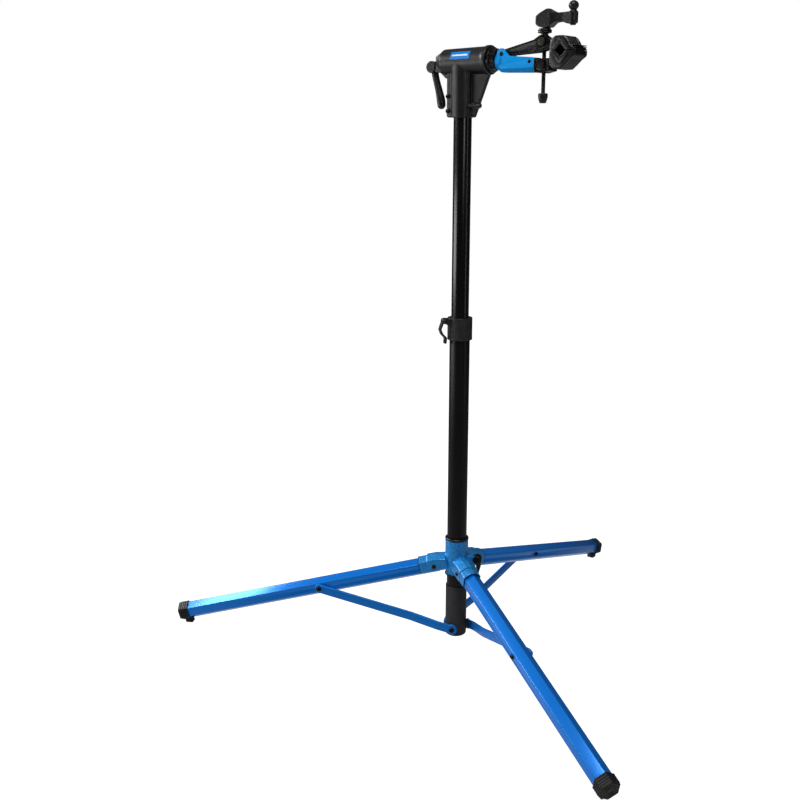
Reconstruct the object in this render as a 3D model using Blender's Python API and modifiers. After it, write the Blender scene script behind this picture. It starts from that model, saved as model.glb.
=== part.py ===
"""Folding tripod repair stand for bicycles, modelled as separate pieces.

Units are metres, +Z is up and the clamp arm points along +X. The stand rests on Z = 0 and the
origin lies under the middle of its bounding box. Every piece is placed through empties that carry
its joint axes: the post, each leg, each strut, the head, the collar lever and the hub lever.
"""

import math

import bmesh
import bpy
from mathutils import Matrix, Vector

# ---- driving dimensions -------------------------------------------------------------------
GAP = 0.0003                    # running clearance kept between neighbouring solids
MERGE = 0.00001                 # merge distance of every modifier that merges

POST_Y = -0.16208               # post axis, seen from the middle of the tripod's bounding box
LOWER_TUBE_R = 0.02222          # 1-3/4 inch tube
UPPER_TUBE_R = 0.01905          # 1-1/2 inch tube
TUBE_WALL = 0.0016
BASE_BOTTOM = 0.0190
BASE_TOP = 0.1420
BASE_R = 0.0243
BASE_SOLID = 0.0350             # solid height below the lower tube
LOWER_TUBE_TOP = 0.7522
COLLAR_BOTTOM = 0.7200
COLLAR_TOP = 0.7685
COLLAR_R = 0.0272
UPPER_TUBE_BOTTOM = 0.4750
UPPER_TUBE_TOP = 1.2620
SPINDLE_Z = 1.3010

LEG_NAMES = ("rear", "left", "right")
LEG_AZIMUTHS = (90.0, 210.0, 330.0)
LEG_SLOPE = math.radians(14.9)  # fall of an open leg
HEX_HALF_FLATS = 0.0180         # half the width across flats of a leg tube
LEG_WALL = 0.0020
LEG_INNER_END = -0.0065         # tube end, measured from the hub pivot along the leg
LEG_TUBE_END = 0.6430
FOOT_START = 0.6210
FOOT_END = 0.6460
FOOT_HALF_FLATS = 0.0208
PAD_ALONG = 0.6300              # middle of the floor pad, along the leg
PAD_DROP = 0.0286               # floor pad below the leg's axis

HUB_PIVOT_R = 0.0501
HUB_PIVOT_Z = PAD_ALONG * math.sin(LEG_SLOPE) + PAD_DROP * math.cos(LEG_SLOPE)
HUB_R = 0.0263
HUB_BOTTOM = 0.1720
HUB_TOP = 0.2540
HUB_BORE_R = 0.0239
CHANNEL_END = 0.0350            # outer end of a leg channel, from the pivot along the leg

STRUT_AT = 0.2817               # strut bolt, from the hub pivot along the leg
STRUT_BASE_R = 0.0065
STRUT_BASE_Z = 0.0392
STRUT_THICK = 0.0060
STRUT_HALF_WIDTH = 0.0102
STRUT_EYE_R = 0.0122
STRUT_OUTSET = 0.0078           # sideways step of a strut from the leg out to the base
BOLT_R = 0.0030
BOLT_HOLE_R = BOLT_R + GAP
BOLT_HEAD_R = 0.0055
BOLT_HEAD_H = 0.0035

COLLAR_LEVER_AZIMUTH = 240.0
COLLAR_PIVOT_R = 0.0368
COLLAR_PIVOT_Z = 0.7625
HUB_LEVER_AZIMUTH = 30.0
HUB_LEVER_R = 0.0480
HUB_LEVER_Z = 0.2060
HUB_TONGUE_R = 0.0060             # tongue of the hub that the forked lever turns on
HUB_TONGUE_HALF = 0.0042

# Head and clamp places are (x, z) from the post axis and the spindle's height.
BARREL_BORE_R = 0.0145
SPINDLE_R = 0.0100
SOCKET_R = 0.0254
SOCKET_BOTTOM = 1.1890 - SPINDLE_Z
HEAD_LEVER_PIVOT = (-0.0757, -0.0088)
PINCH_BOLTS = ((-0.0306, -0.0690), (-0.0306, -0.0985))
THUMB_SCREW = (0.0385, -0.0885)
JAW_PIVOT = (0.1022, 0.0096)
TRUNNION = (0.1925, 0.0285)
NUT = (0.1925, -0.0141)
CLAMP_HOLE = (0.2425, 0.0095)   # middle of the square hole between the jaws
CLAMP_HOLE_HALF = 0.0122        # half its diagonal
ARM_HALF_WIDTH = 0.0145
JAW_HALF_WIDTH = 0.0250
ROD_R = 0.0040
CAM_PIN_Z = 0.0748
KNOB_X = 0.2541

BLUE = (0.010, 0.110, 0.520, 1.0)
BLUE_CAST = (0.020, 0.160, 0.480, 1.0)
BLUE_ARM = (0.005, 0.220, 0.680, 1.0)
BLACK_TUBE = (0.012, 0.012, 0.013, 1.0)
BLACK_CAST = (0.022, 0.022, 0.024, 1.0)
BLACK_PLASTIC = (0.016, 0.016, 0.017, 1.0)
RUBBER = (0.014, 0.014, 0.014, 1.0)
NYLON = (0.300, 0.300, 0.290, 1.0)
STEEL_BLACK = (0.030, 0.029, 0.028, 1.0)
STEEL = (0.450, 0.450, 0.440, 1.0)


# ---- scene and placing --------------------------------------------------------------------
def clear_scene():
    for obj in list(bpy.data.objects):
        bpy.data.objects.remove(obj, do_unlink=True)


def new_collection(name):
    collection = bpy.data.collections.new(name)
    bpy.context.scene.collection.children.link(collection)
    return collection


clear_scene()
STAND = new_collection("repair_stand")
TOOLS = new_collection("cutters")


def new_material(name, colour, roughness, metallic):
    material = bpy.data.materials.new(name)
    material.use_nodes = True
    shader = material.node_tree.nodes["Principled BSDF"]
    shader.inputs["Base Color"].default_value = colour
    shader.inputs["Roughness"].default_value = roughness
    shader.inputs["Metallic"].default_value = metallic
    return material


FINISHES = {
    "blue": (BLUE, 0.32, 0.6),
    "blue_cast": (BLUE_CAST, 0.45, 0.3),
    "blue_arm": (BLUE_ARM, 0.35, 0.3),
    "black_tube": (BLACK_TUBE, 0.25, 0.6),
    "black_cast": (BLACK_CAST, 0.50, 0.2),
    "black_plastic": (BLACK_PLASTIC, 0.45, 0.0),
    "rubber": (RUBBER, 0.80, 0.0),
    "nylon": (NYLON, 0.55, 0.0),
    "steel_black": (STEEL_BLACK, 0.35, 0.9),
    "steel": (STEEL, 0.30, 1.0),
}


def new_empty(name, parent, location=(0.0, 0.0, 0.0), rotation=(0.0, 0.0, 0.0)):
    empty = bpy.data.objects.new(name, None)
    STAND.objects.link(empty)
    empty.parent = parent
    empty.location = location
    empty.rotation_euler = rotation
    return empty


def place(obj, parent, location=(0.0, 0.0, 0.0), rotation=(0.0, 0.0, 0.0)):
    obj.parent = parent
    obj.location = location
    obj.rotation_euler = rotation
    return obj


def new_object(name, mesh):
    obj = bpy.data.objects.new(name, mesh)
    TOOLS.objects.link(obj)
    obj.hide_render = True
    obj.display_type = "WIRE"
    return obj


def as_part(obj, finish, smooth_angle=35.0):
    """Turn a shape into a visible piece of the stand, with its own material."""
    TOOLS.objects.unlink(obj)
    STAND.objects.link(obj)
    obj.hide_render = False
    obj.display_type = "TEXTURED"
    obj.data.materials.clear()
    obj.data.materials.append(new_material(obj.name, *FINISHES[finish]))
    obj.data.shade_smooth()
    obj.data.set_sharp_from_angle(angle=math.radians(smooth_angle))
    return obj


# ---- shapes -------------------------------------------------------------------------------
def arc(centre, radius, start, end, steps):
    """Points of an arc about centre, from start to end degrees."""
    points = []
    for i in range(steps + 1):
        angle = math.radians(start + (end - start) * i / steps)
        points.append((centre[0] + radius * math.cos(angle), centre[1] + radius * math.sin(angle)))
    return points


def turned(name, profile, steps=24, closed=False, axis="Z"):
    """Revolve a profile of (radius, height) points, listed down the outer side."""
    mesh = bpy.data.meshes.new(name)
    edges = [(i, i + 1) for i in range(len(profile) - 1)]
    if closed:
        edges.append((len(profile) - 1, 0))
    mesh.from_pydata([(r, 0.0, z) for r, z in profile], edges, [])
    obj = new_object(name, mesh)
    screw = obj.modifiers.new("turn", "SCREW")
    screw.steps = steps
    screw.render_steps = steps
    screw.use_merge_vertices = True
    screw.merge_threshold = MERGE
    screw.use_smooth_shade = True
    turn = {"Z": Matrix(), "X": Matrix.Rotation(math.pi / 2, 4, "Y"),
            "Y": Matrix.Rotation(-math.pi / 2, 4, "X")}[axis]
    return bake(obj, turn)


def bake(obj, turn=None):
    """Replace an object's modifiers by the mesh that they make."""
    bpy.context.view_layer.update()
    evaluated = obj.evaluated_get(bpy.context.evaluated_depsgraph_get())
    mesh = bpy.data.meshes.new_from_object(evaluated)
    work = bmesh.new()
    work.from_mesh(mesh)
    bmesh.ops.remove_doubles(work, verts=work.verts, dist=MERGE)
    if turn is not None:
        work.transform(turn)
    work.to_mesh(mesh)
    work.free()
    name = obj.name
    bpy.data.objects.remove(obj, do_unlink=True)
    mesh.name = name
    return new_object(name, mesh)


def rod(name, radius, low, high, axis="Z", steps=18):
    """Solid round bar between two heights along an axis."""
    return turned(name, [(0.0, high), (radius, high), (radius, low), (0.0, low)], steps, axis=axis)


def tube(name, outer, inner, low, high, axis="Z", steps=20):
    """Open tube between two heights along an axis."""
    profile = [(outer, high), (outer, low), (inner, low), (inner, high)]
    return turned(name, profile, steps, closed=True, axis=axis)


def prism(name, outline, low, high, plane="XZ"):
    """Extrude an outline: XZ along Y, XY along Z, or YZ along X."""
    work = bmesh.new()
    corners = []
    for a, b in outline:
        spot = {"XZ": (a, low, b), "XY": (a, b, low), "YZ": (low, a, b)}[plane]
        corners.append(work.verts.new(spot))
    face = work.faces.new(corners)
    grown = bmesh.ops.extrude_face_region(work, geom=[face])
    away = {"XZ": (0.0, high - low, 0.0), "XY": (0.0, 0.0, high - low), "YZ": (high - low, 0.0, 0.0)}
    moved = [g for g in grown["geom"] if isinstance(g, bmesh.types.BMVert)]
    bmesh.ops.translate(work, vec=away[plane], verts=moved)
    bmesh.ops.recalc_face_normals(work, faces=work.faces)
    mesh = bpy.data.meshes.new(name)
    work.to_mesh(mesh)
    work.free()
    return new_object(name, mesh)


def box(name, low, high):
    """Box between two corners."""
    work = bmesh.new()
    size = [b - a for a, b in zip(low, high)]
    middle = [(a + b) / 2 for a, b in zip(low, high)]
    bmesh.ops.create_cube(work, size=1.0, matrix=Matrix.Translation(middle) @ Matrix.Diagonal((*size, 1.0)))
    mesh = bpy.data.meshes.new(name)
    work.to_mesh(mesh)
    work.free()
    return new_object(name, mesh)


def handle(name, points, resolution=2, segments=2):
    """Round handle along a smooth path of (x, y, z, radius) points, closed at both ends."""
    curve = bpy.data.curves.new(name, "CURVE")
    curve.dimensions = "3D"
    curve.bevel_depth = 1.0
    curve.bevel_resolution = resolution
    curve.resolution_u = segments
    curve.use_fill_caps = True
    spline = curve.splines.new("NURBS")
    spline.points.add(len(points) - 1)
    for point, (x, y, z, radius) in zip(spline.points, points):
        point.co = (x, y, z, 1.0)
        point.radius = radius
    spline.order_u = 3
    spline.use_endpoint_u = True
    obj = bpy.data.objects.new(name, curve)
    TOOLS.objects.link(obj)
    return bake(obj)


def soften(obj, width, segments=1, angle=40.0):
    """Round the sharp edges of a shape."""
    bevel = obj.modifiers.new("round", "BEVEL")
    bevel.width = width
    bevel.segments = segments
    bevel.limit_method = "ANGLE"
    bevel.angle_limit = math.radians(angle)
    return obj


def boolean(obj, other, operation):
    """Join another shape to an object, cut it away, or keep what both share."""
    if other.parent is None:
        other.parent = obj
    step = obj.modifiers.new(other.name, "BOOLEAN")
    step.operation = operation
    step.solver = "EXACT"
    step.object = other
    return obj


def join(obj, *others):
    for other in others:
        boolean(obj, other, "UNION")
    return obj


def cut(obj, *others):
    for other in others:
        boolean(obj, other, "DIFFERENCE")
    return obj


def hexagon(half_flats):
    """Hexagon in (y, z) with upright flats at both sides and a corner on top."""
    corner = half_flats / math.cos(math.pi / 6)
    return [(corner * math.sin(math.radians(60 * i)), corner * math.cos(math.radians(60 * i))) for i in range(6)]


def bolt(name, finish, head_at, tip_at, head_sides=12, shank_r=BOLT_R, head_r=BOLT_HEAD_R, head_h=BOLT_HEAD_H):
    """Bolt along Y: a flat round head outside head_at and a shank to tip_at."""
    side = 1.0 if head_at > tip_at else -1.0
    outer = head_at + side * head_h
    crown = head_r - 0.0012
    body = turned(name, [(0.0, abs(outer)), (crown, abs(outer)), (head_r, abs(outer) - 0.0012),
                         (head_r, abs(head_at)), (shank_r, abs(head_at)), (shank_r, side * tip_at),
                         (0.0, side * tip_at)], head_sides, axis="Z")
    turn = Matrix.Rotation(-side * math.pi / 2, 4, "X")
    body.data.transform(turn)
    return as_part(body, finish)


# ---- post ---------------------------------------------------------------------------------
def make_base_sleeve(post, leg_frames):
    tube_seat = BASE_BOTTOM + BASE_SOLID + GAP / 2
    bore_r = LOWER_TUBE_R + GAP
    rounding = 0.0050
    profile = [(bore_r, BASE_TOP), (BASE_R, BASE_TOP), (BASE_R, BASE_BOTTOM + rounding)]
    profile += [(BASE_R - rounding + x, BASE_BOTTOM + rounding + z) for x, z in arc((0, 0), rounding, -18, -72, 3)]
    profile += [(BASE_R - rounding, BASE_BOTTOM), (0.0, BASE_BOTTOM)]
    profile += [(0.0, tube_seat), (bore_r, tube_seat)]
    sleeve = place(turned("base_sleeve", profile, 28, closed=True), post)
    face = HEX_HALF_FLATS + STRUT_OUTSET
    for name, frame in zip(LEG_NAMES, leg_frames):
        boss = rod(f"boss_{name}", 0.0105, 0.004, face, axis="Y", steps=18)
        join(sleeve, place(boss, frame, (STRUT_BASE_R, 0.0, STRUT_BASE_Z)))
    for name, frame in zip(LEG_NAMES, leg_frames):
        hole = rod(f"base_hole_{name}", BOLT_HOLE_R, 0.0140, face + 0.001, axis="Y", steps=10)
        cut(sleeve, place(hole, frame, (STRUT_BASE_R, 0.0, STRUT_BASE_Z)))
    as_part(sleeve, "black_plastic")


def make_lower_tube(post):
    low = BASE_BOTTOM + BASE_SOLID + GAP * 1.5
    part = tube("lower_tube", LOWER_TUBE_R, LOWER_TUBE_R - TUBE_WALL, low, LOWER_TUBE_TOP, steps=28)
    as_part(place(part, post), "black_tube")


def make_tube_bushing(post):
    """Plastic liner in the mouth of the lower tube, with a lip on the tube's end."""
    inner = UPPER_TUBE_R + GAP
    outer = LOWER_TUBE_R - TUBE_WALL - GAP
    lip_low = LOWER_TUBE_TOP + GAP
    profile = [(LOWER_TUBE_R, lip_low + 0.0030), (LOWER_TUBE_R, lip_low), (outer, lip_low),
               (outer, LOWER_TUBE_TOP - 0.0500), (inner, LOWER_TUBE_TOP - 0.0500), (inner, lip_low + 0.0030)]
    as_part(place(turned("tube_bushing", profile, 24, closed=True), post), "nylon")


def make_height_collar(post, collar_frame):
    """Clamp collar on the lower tube, with ears for the cam lever and a window for its shoe."""
    seat = LOWER_TUBE_TOP + 0.0036
    bore = LOWER_TUBE_R + GAP
    lip = UPPER_TUBE_R + 0.0007
    profile = [(lip, COLLAR_TOP), (COLLAR_R - 0.0012, COLLAR_TOP), (COLLAR_R, COLLAR_TOP - 0.0012),
               (COLLAR_R, COLLAR_BOTTOM + 0.0012), (COLLAR_R - 0.0012, COLLAR_BOTTOM),
               (bore, COLLAR_BOTTOM), (bore, seat), (lip, seat)]
    collar = place(turned("height_collar", profile, 28, closed=True), post)
    ear_outline = [(COLLAR_R - 0.002, COLLAR_PIVOT_Z + 0.0052), (COLLAR_R - 0.002, COLLAR_PIVOT_Z - 0.0110)]
    ear_outline += arc((COLLAR_PIVOT_R, COLLAR_PIVOT_Z), 0.0052, -60, 90, 6)
    for side, name in ((1, "a"), (-1, "b")):
        low, high = sorted((side * 0.0061, side * 0.0095))
        join(collar, place(prism(f"collar_ear_{name}", ear_outline, low, high), collar_frame))
    window = box("collar_window", (0.015, -0.0053, COLLAR_PIVOT_Z - 0.0045), (0.032, 0.0053, COLLAR_PIVOT_Z + 0.0035))
    pin_hole = rod("collar_pin_hole", 0.0025 + GAP, -0.012, 0.012, axis="Y", steps=10)
    cut(collar, place(window, collar_frame))
    cut(collar, place(pin_hole, collar_frame, (COLLAR_PIVOT_R, 0.0, COLLAR_PIVOT_Z)))
    as_part(collar, "black_plastic")


def make_collar_shoe(collar_frame):
    """Brake shoe that the cam presses on the upper tube."""
    shoe = box("collar_shoe", (0.017, -0.0050, COLLAR_PIVOT_Z - 0.0042), (0.0292, 0.0050, COLLAR_PIVOT_Z + 0.0032))
    bore = rod("shoe_bore", UPPER_TUBE_R + GAP, 0.740, 0.780, steps=28)
    as_part(place(cut(shoe, bore), collar_frame), "nylon")


def make_lever_pin(name, frame, location, half_length, radius=0.0025):
    pin = rod(name, radius, -half_length, half_length, axis="Y", steps=10)
    as_part(place(pin, frame, location), "steel")


def make_collar_lever(collar_frame):
    """Cam lever of the collar: it kinks outward for the finger and hugs the tube below."""
    cam_r = 0.0065
    blade = [(0.0030, -0.0050), (0.0085, -0.0180), (0.0046, -0.0270), (-0.0045, -0.0360),
             (-0.0045, -0.0430), (-0.0030, -0.0500)]
    back = [(x + 0.0042, z + dz) for (x, z), dz in zip(blade, (0.0040, 0.0, -0.0012, -0.0018, -0.0005, 0.0))]
    outline = blade + list(reversed(back))
    lever = rod("collar_lever", cam_r, -0.0057, 0.0057, axis="Y", steps=18)
    arm = prism("collar_lever_arm", outline, -0.0052, 0.0052)
    join(lever, arm)
    cut(lever, rod("collar_lever_hole", 0.0025 + GAP, -0.010, 0.010, axis="Y", steps=10))
    as_part(place(lever, collar_frame, (COLLAR_PIVOT_R, 0.0, COLLAR_PIVOT_Z)), "black_plastic")


def make_post(post, leg_frames, collar_frame):
    make_base_sleeve(post, leg_frames)
    make_lower_tube(post)
    make_tube_bushing(post)
    make_height_collar(post, collar_frame)
    make_collar_shoe(collar_frame)
    make_lever_pin("collar_lever_pin", collar_frame, (COLLAR_PIVOT_R, 0.0, COLLAR_PIVOT_Z), 0.0095)
    make_collar_lever(collar_frame)


# ---- sliding hub --------------------------------------------------------------------------
def channel_outline(side, shoulder, bottom):
    """Leg channel in (y, z): upright sides and a roof that follows the leg's top faces."""
    ridge = shoulder + side * math.tan(math.pi / 6)
    return [(-side, bottom), (side, bottom), (side, shoulder), (0.0, ridge), (-side, shoulder)]


def make_leg_hub(post, leg_axes, lever_frame):
    inside = HEX_HALF_FLATS + GAP
    wall = 0.0024
    roof = 0.0128
    outer_roof = roof + wall / math.cos(math.pi / 6) - wall * math.tan(math.pi / 6)
    hub = place(rod("leg_hub", HUB_R, HUB_BOTTOM, HUB_TOP, steps=28), post)
    for name, axis in zip(LEG_NAMES, leg_axes):
        shell = prism(f"channel_{name}", channel_outline(inside + wall, outer_roof, -0.0120), -0.0300, CHANNEL_END, "YZ")
        soften(shell, 0.0018, 2)
        join(hub, place(shell, axis))
    boss = box("hub_boss", (0.0180, -0.0095, HUB_LEVER_Z - 0.0085), (0.0375, 0.0095, HUB_LEVER_Z + 0.0085))
    join(hub, place(boss, lever_frame))
    tongue = [(0.0350, HUB_LEVER_Z + HUB_TONGUE_R), (0.0350, HUB_LEVER_Z - HUB_TONGUE_R)]
    tongue += arc((HUB_LEVER_R, HUB_LEVER_Z), HUB_TONGUE_R, -90, 90, 6)
    join(hub, place(prism("hub_tongue", tongue, -HUB_TONGUE_HALF, HUB_TONGUE_HALF), lever_frame))
    cut(hub, rod("hub_bore", HUB_BORE_R, HUB_BOTTOM - 0.01, HUB_TOP + 0.01, steps=26))
    for name, axis in zip(LEG_NAMES, leg_axes):
        room = prism(f"leg_room_{name}", channel_outline(inside, roof, -0.0200), -0.0222, CHANNEL_END + 0.01, "YZ")
        cut(hub, place(room, axis))
        cut(hub, place(rod(f"pivot_hole_{name}", BOLT_HOLE_R, -0.030, 0.030, axis="Y", steps=10), axis))
    pin_hole = rod("hub_pin_hole", 0.0025 + GAP, -0.012, 0.012, axis="Y", steps=10)
    cut(hub, place(pin_hole, lever_frame, (HUB_LEVER_R, 0.0, HUB_LEVER_Z)))
    as_part(hub, "blue_cast")


def make_hub_bushing(post, name, seat, direction, flange):
    """Flanged plastic bushing pressed into one end of the hub."""
    inner = LOWER_TUBE_R + GAP
    outer = HUB_BORE_R - GAP
    rim = 0.0269
    near = seat + direction * GAP
    far = near + direction * flange
    deep = seat - direction * 0.0180
    profile = [(rim, far), (rim, near), (outer, near), (outer, deep), (inner, deep), (inner, far)]
    if direction < 0:
        profile.reverse()
    as_part(place(turned(name, profile, 28, closed=True), post), "black_plastic")


def make_hub_lever(lever_frame):
    """Small forked cam lever that locks the hub to the lower tube."""
    lever = rod("hub_lever", 0.0100, -0.0095, 0.0095, axis="Y", steps=20)
    outline = [(-0.0030, 0.0), (-0.0022, -0.0160), (-0.0010, -0.0310), (0.0040, -0.0315), (0.0078, -0.0160), (0.0085, 0.0)]
    join(lever, prism("hub_lever_arm", outline, -0.0086, 0.0086))
    side = HUB_TONGUE_HALF + GAP
    room = HUB_TONGUE_R + 2 * GAP
    cut(lever, box("hub_lever_fork", (-0.0200, -side, -room), (room + GAP, side, 0.0200)))
    cut(lever, rod("hub_lever_hole", 0.0025 + GAP, -0.012, 0.012, axis="Y", steps=10))
    as_part(place(lever, lever_frame, (HUB_LEVER_R, 0.0, HUB_LEVER_Z)), "black_plastic")


def make_hub(post, leg_axes, lever_frame):
    make_leg_hub(post, leg_axes, lever_frame)
    make_hub_bushing(post, "hub_bushing_top", HUB_TOP, 1, 0.0050)
    make_hub_bushing(post, "hub_bushing_bottom", HUB_BOTTOM, -1, 0.0025)
    make_lever_pin("hub_lever_pin", lever_frame, (HUB_LEVER_R, 0.0, HUB_LEVER_Z), 0.0093)
    make_hub_lever(lever_frame)
    reach = HEX_HALF_FLATS + GAP + 0.0028 + GAP
    for name, axis in zip(LEG_NAMES, leg_axes):
        part = bolt(f"leg_pivot_bolt_{name}", "steel_black", -reach, reach + 0.0030)
        place(part, axis)


# ---- legs and struts ----------------------------------------------------------------------
def make_leg_tube(name, axis):
    leg = prism(f"leg_{name}", hexagon(HEX_HALF_FLATS), LEG_INNER_END, LEG_TUBE_END, "YZ")
    hollow = prism(f"leg_hollow_{name}", hexagon(HEX_HALF_FLATS - LEG_WALL), LEG_INNER_END - 0.01, LEG_TUBE_END + 0.01, "YZ")
    cut(leg, hollow)
    for along, tag in ((0.0, "hub"), (STRUT_AT, "strut")):
        hole = rod(f"leg_{tag}_hole_{name}", BOLT_HOLE_R, -0.025, 0.025, axis="Y", steps=10)
        cut(leg, place(hole, leg, (along, 0.0, 0.0)))
    as_part(place(leg, axis), "blue")


def make_foot(name, axis):
    """Ribbed plastic cap with a pad below, cut level with the floor."""
    foot = soften(prism(f"foot_{name}", hexagon(FOOT_HALF_FLATS), FOOT_START, FOOT_END, "YZ"), 0.0015, 2)
    pad = box(f"pad_{name}", (PAD_ALONG - 0.0080, -0.0090, -0.0340), (PAD_ALONG + 0.0080, 0.0090, -0.0120))
    join(foot, pad)
    room = prism(f"foot_room_{name}", hexagon(HEX_HALF_FLATS + GAP), FOOT_START - 0.02, LEG_TUBE_END + GAP, "YZ")
    cut(foot, room)
    floor = box(f"floor_{name}", (-0.05, -0.05, -0.05), (0.05, 0.05, 0.0))
    place(floor, foot, (PAD_ALONG, 0.0, -PAD_DROP), (0.0, -LEG_SLOPE, 0.0))
    cut(foot, floor)
    as_part(place(foot, axis), "rubber")


def strut_length():
    """Pin to pin length of a strut, from where its two ends sit on an open leg."""
    run = HUB_PIVOT_R + STRUT_AT * math.cos(LEG_SLOPE) - STRUT_BASE_R
    rise = HUB_PIVOT_Z - STRUT_AT * math.sin(LEG_SLOPE) - STRUT_BASE_Z
    return math.hypot(run, rise), math.atan2(rise, run)


def make_strut(name, axis, length):
    """Flat bar that steps outward near the base, with a round eye at each end."""
    inner = HEX_HALF_FLATS + GAP
    outer = inner + STRUT_OUTSET
    start = -0.020
    end = length + 0.020
    near, far = 0.034, 0.100
    plan = [(start, outer), (near, outer), (far, inner), (end, inner),
            (end, inner + STRUT_THICK), (far, inner + STRUT_THICK), (near, outer + STRUT_THICK),
            (start, outer + STRUT_THICK)]
    strut = prism(f"strut_{name}", plan, -0.020, 0.020, "XY")
    eye_join = math.degrees(math.asin(STRUT_HALF_WIDTH / STRUT_EYE_R))
    outline = arc((length, 0.0), STRUT_HALF_WIDTH, -90, 90, 8)
    outline += [(0.030, STRUT_HALF_WIDTH)]
    outline += arc((0.0, 0.0), STRUT_EYE_R, eye_join, 360 - eye_join, 12)
    outline += [(0.030, -STRUT_HALF_WIDTH)]
    face = prism(f"strut_face_{name}", outline, 0.010, 0.040)
    boolean(strut, face, "INTERSECT")
    for along, tag in ((0.0, "base"), (length, "leg")):
        hole = rod(f"strut_{tag}_hole_{name}", BOLT_HOLE_R, 0.010, 0.040, axis="Y", steps=10)
        cut(strut, place(hole, strut, (along, 0.0, 0.0)))
    as_part(place(strut, axis), "blue")


def make_legs(leg_frames, leg_axes, strut_axes):
    length, _ = strut_length()
    inner = HEX_HALF_FLATS + GAP
    base_face = inner + STRUT_OUTSET + STRUT_THICK + GAP
    nut_seat = inner + STRUT_THICK + GAP
    for name, leg_axis, strut_axis in zip(LEG_NAMES, leg_axes, strut_axes):
        make_leg_tube(name, leg_axis)
        make_foot(name, leg_axis)
        make_strut(name, strut_axis, length)
        through = bolt(f"leg_strut_bolt_{name}", "steel_black", -inner, HEX_HALF_FLATS - 0.0002)
        place(through, leg_axis, (STRUT_AT, 0.0, 0.0))
        nut = bolt(f"strut_nut_{name}", "steel_black", nut_seat, inner + 0.0001, head_r=0.0062)
        place(nut, strut_axis, (length, 0.0, 0.0))
        base = bolt(f"strut_base_bolt_{name}", "steel_black", base_face, 0.0146)
        place(base, strut_axis)


# ---- mast and head ------------------------------------------------------------------------
def make_inner_glide(post):
    """Plastic glide on the foot of the upper tube, running inside the lower tube."""
    outer = LOWER_TUBE_R - TUBE_WALL - GAP
    inner = UPPER_TUBE_R + GAP
    floor = UPPER_TUBE_BOTTOM - GAP
    profile = [(outer, UPPER_TUBE_BOTTOM + 0.040), (outer, floor - 0.0045), (0.0120, floor - 0.0045),
               (0.0120, floor), (inner, floor), (inner, UPPER_TUBE_BOTTOM + 0.040)]
    as_part(place(turned("inner_glide", profile, 24, closed=True), post), "nylon")


def make_upper_tube(post):
    part = tube("upper_tube", UPPER_TUBE_R, UPPER_TUBE_R - TUBE_WALL, UPPER_TUBE_BOTTOM, UPPER_TUBE_TOP, steps=28)
    as_part(place(part, post), "black_tube")


def make_barrel(head):
    """Turned outer shape of the head along X: coned rear, long barrel and front flange."""
    profile = [(0.0, 0.0700), (0.0278, 0.0700), (0.0290, 0.0688), (0.0290, 0.0612), (0.0278, 0.0600),
               (0.0268, 0.0590), (0.0252, -0.0440), (0.0125, -0.0625), (0.0, -0.0625)]
    return place(turned("head_casting", profile, 28, axis="X"), head)


def make_head_casting(head):
    casting = make_barrel(head)
    socket = rod("socket", SOCKET_R, SOCKET_BOTTOM, -0.0010, steps=28)
    ear = soften(box("socket_ear", (-0.0365, -0.0105, SOCKET_BOTTOM + 0.0003), (-0.0150, 0.0105, -0.0215)), 0.0020, 2)
    gusset_outline = [(0.0150, SOCKET_BOTTOM + 0.0006), (0.0312, SOCKET_BOTTOM + 0.0006), (0.0655, -0.0310),
                      (0.0655, -0.0150), (0.0150, -0.0150)]
    gusset = prism("gusset", gusset_outline, -0.0045, 0.0045)
    screw_boss = rod("screw_boss", 0.0055, -0.0080, 0.0070, axis="Y", steps=18)
    web = prism("rear_web", [(-0.0300, -0.0330), (-0.0415, -0.0330), (-0.0560, -0.0205), (-0.0600, -0.0100),
                             (-0.0300, -0.0100)], -0.0060, 0.0060)
    tongue_outline = arc(HEAD_LEVER_PIVOT, 0.0088, 90, 270, 10) + [(-0.0560, -0.0170), (-0.0560, 0.0040)]
    tongue = prism("lever_tongue", tongue_outline, -0.0048, 0.0048)
    join(casting, socket, ear, gusset, web, tongue)
    join(casting, place(screw_boss, casting, (THUMB_SCREW[0], 0.0, THUMB_SCREW[1])))
    tube_bore = rod("tube_bore", UPPER_TUBE_R + GAP, SOCKET_BOTTOM - 0.01, UPPER_TUBE_TOP - SPINDLE_Z + GAP, steps=28)
    spindle_bore = rod("spindle_bore", BARREL_BORE_R, -0.0520, 0.0750, axis="X", steps=20)
    slot = box("pinch_slot", (-0.0400, -0.00125, SOCKET_BOTTOM - 0.01), (-0.0150, 0.00125, -0.0345))
    cut(casting, tube_bore, spindle_bore, slot)
    for i, (x, z) in enumerate(PINCH_BOLTS):
        cut(casting, place(rod(f"pinch_hole_{i}", BOLT_HOLE_R, -0.03, 0.03, axis="Y", steps=10), casting, (x, 0.0, z)))
    pin_hole = rod("tongue_hole", 0.0030 + GAP, -0.02, 0.02, axis="Y", steps=10)
    cut(casting, place(pin_hole, casting, (HEAD_LEVER_PIVOT[0], 0.0, HEAD_LEVER_PIVOT[1])))
    screw_hole = rod("screw_hole", BOLT_HOLE_R, -0.02, 0.02, axis="Y", steps=10)
    cut(casting, place(screw_hole, casting, (THUMB_SCREW[0], 0.0, THUMB_SCREW[1])))
    as_part(casting, "black_cast")


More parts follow.
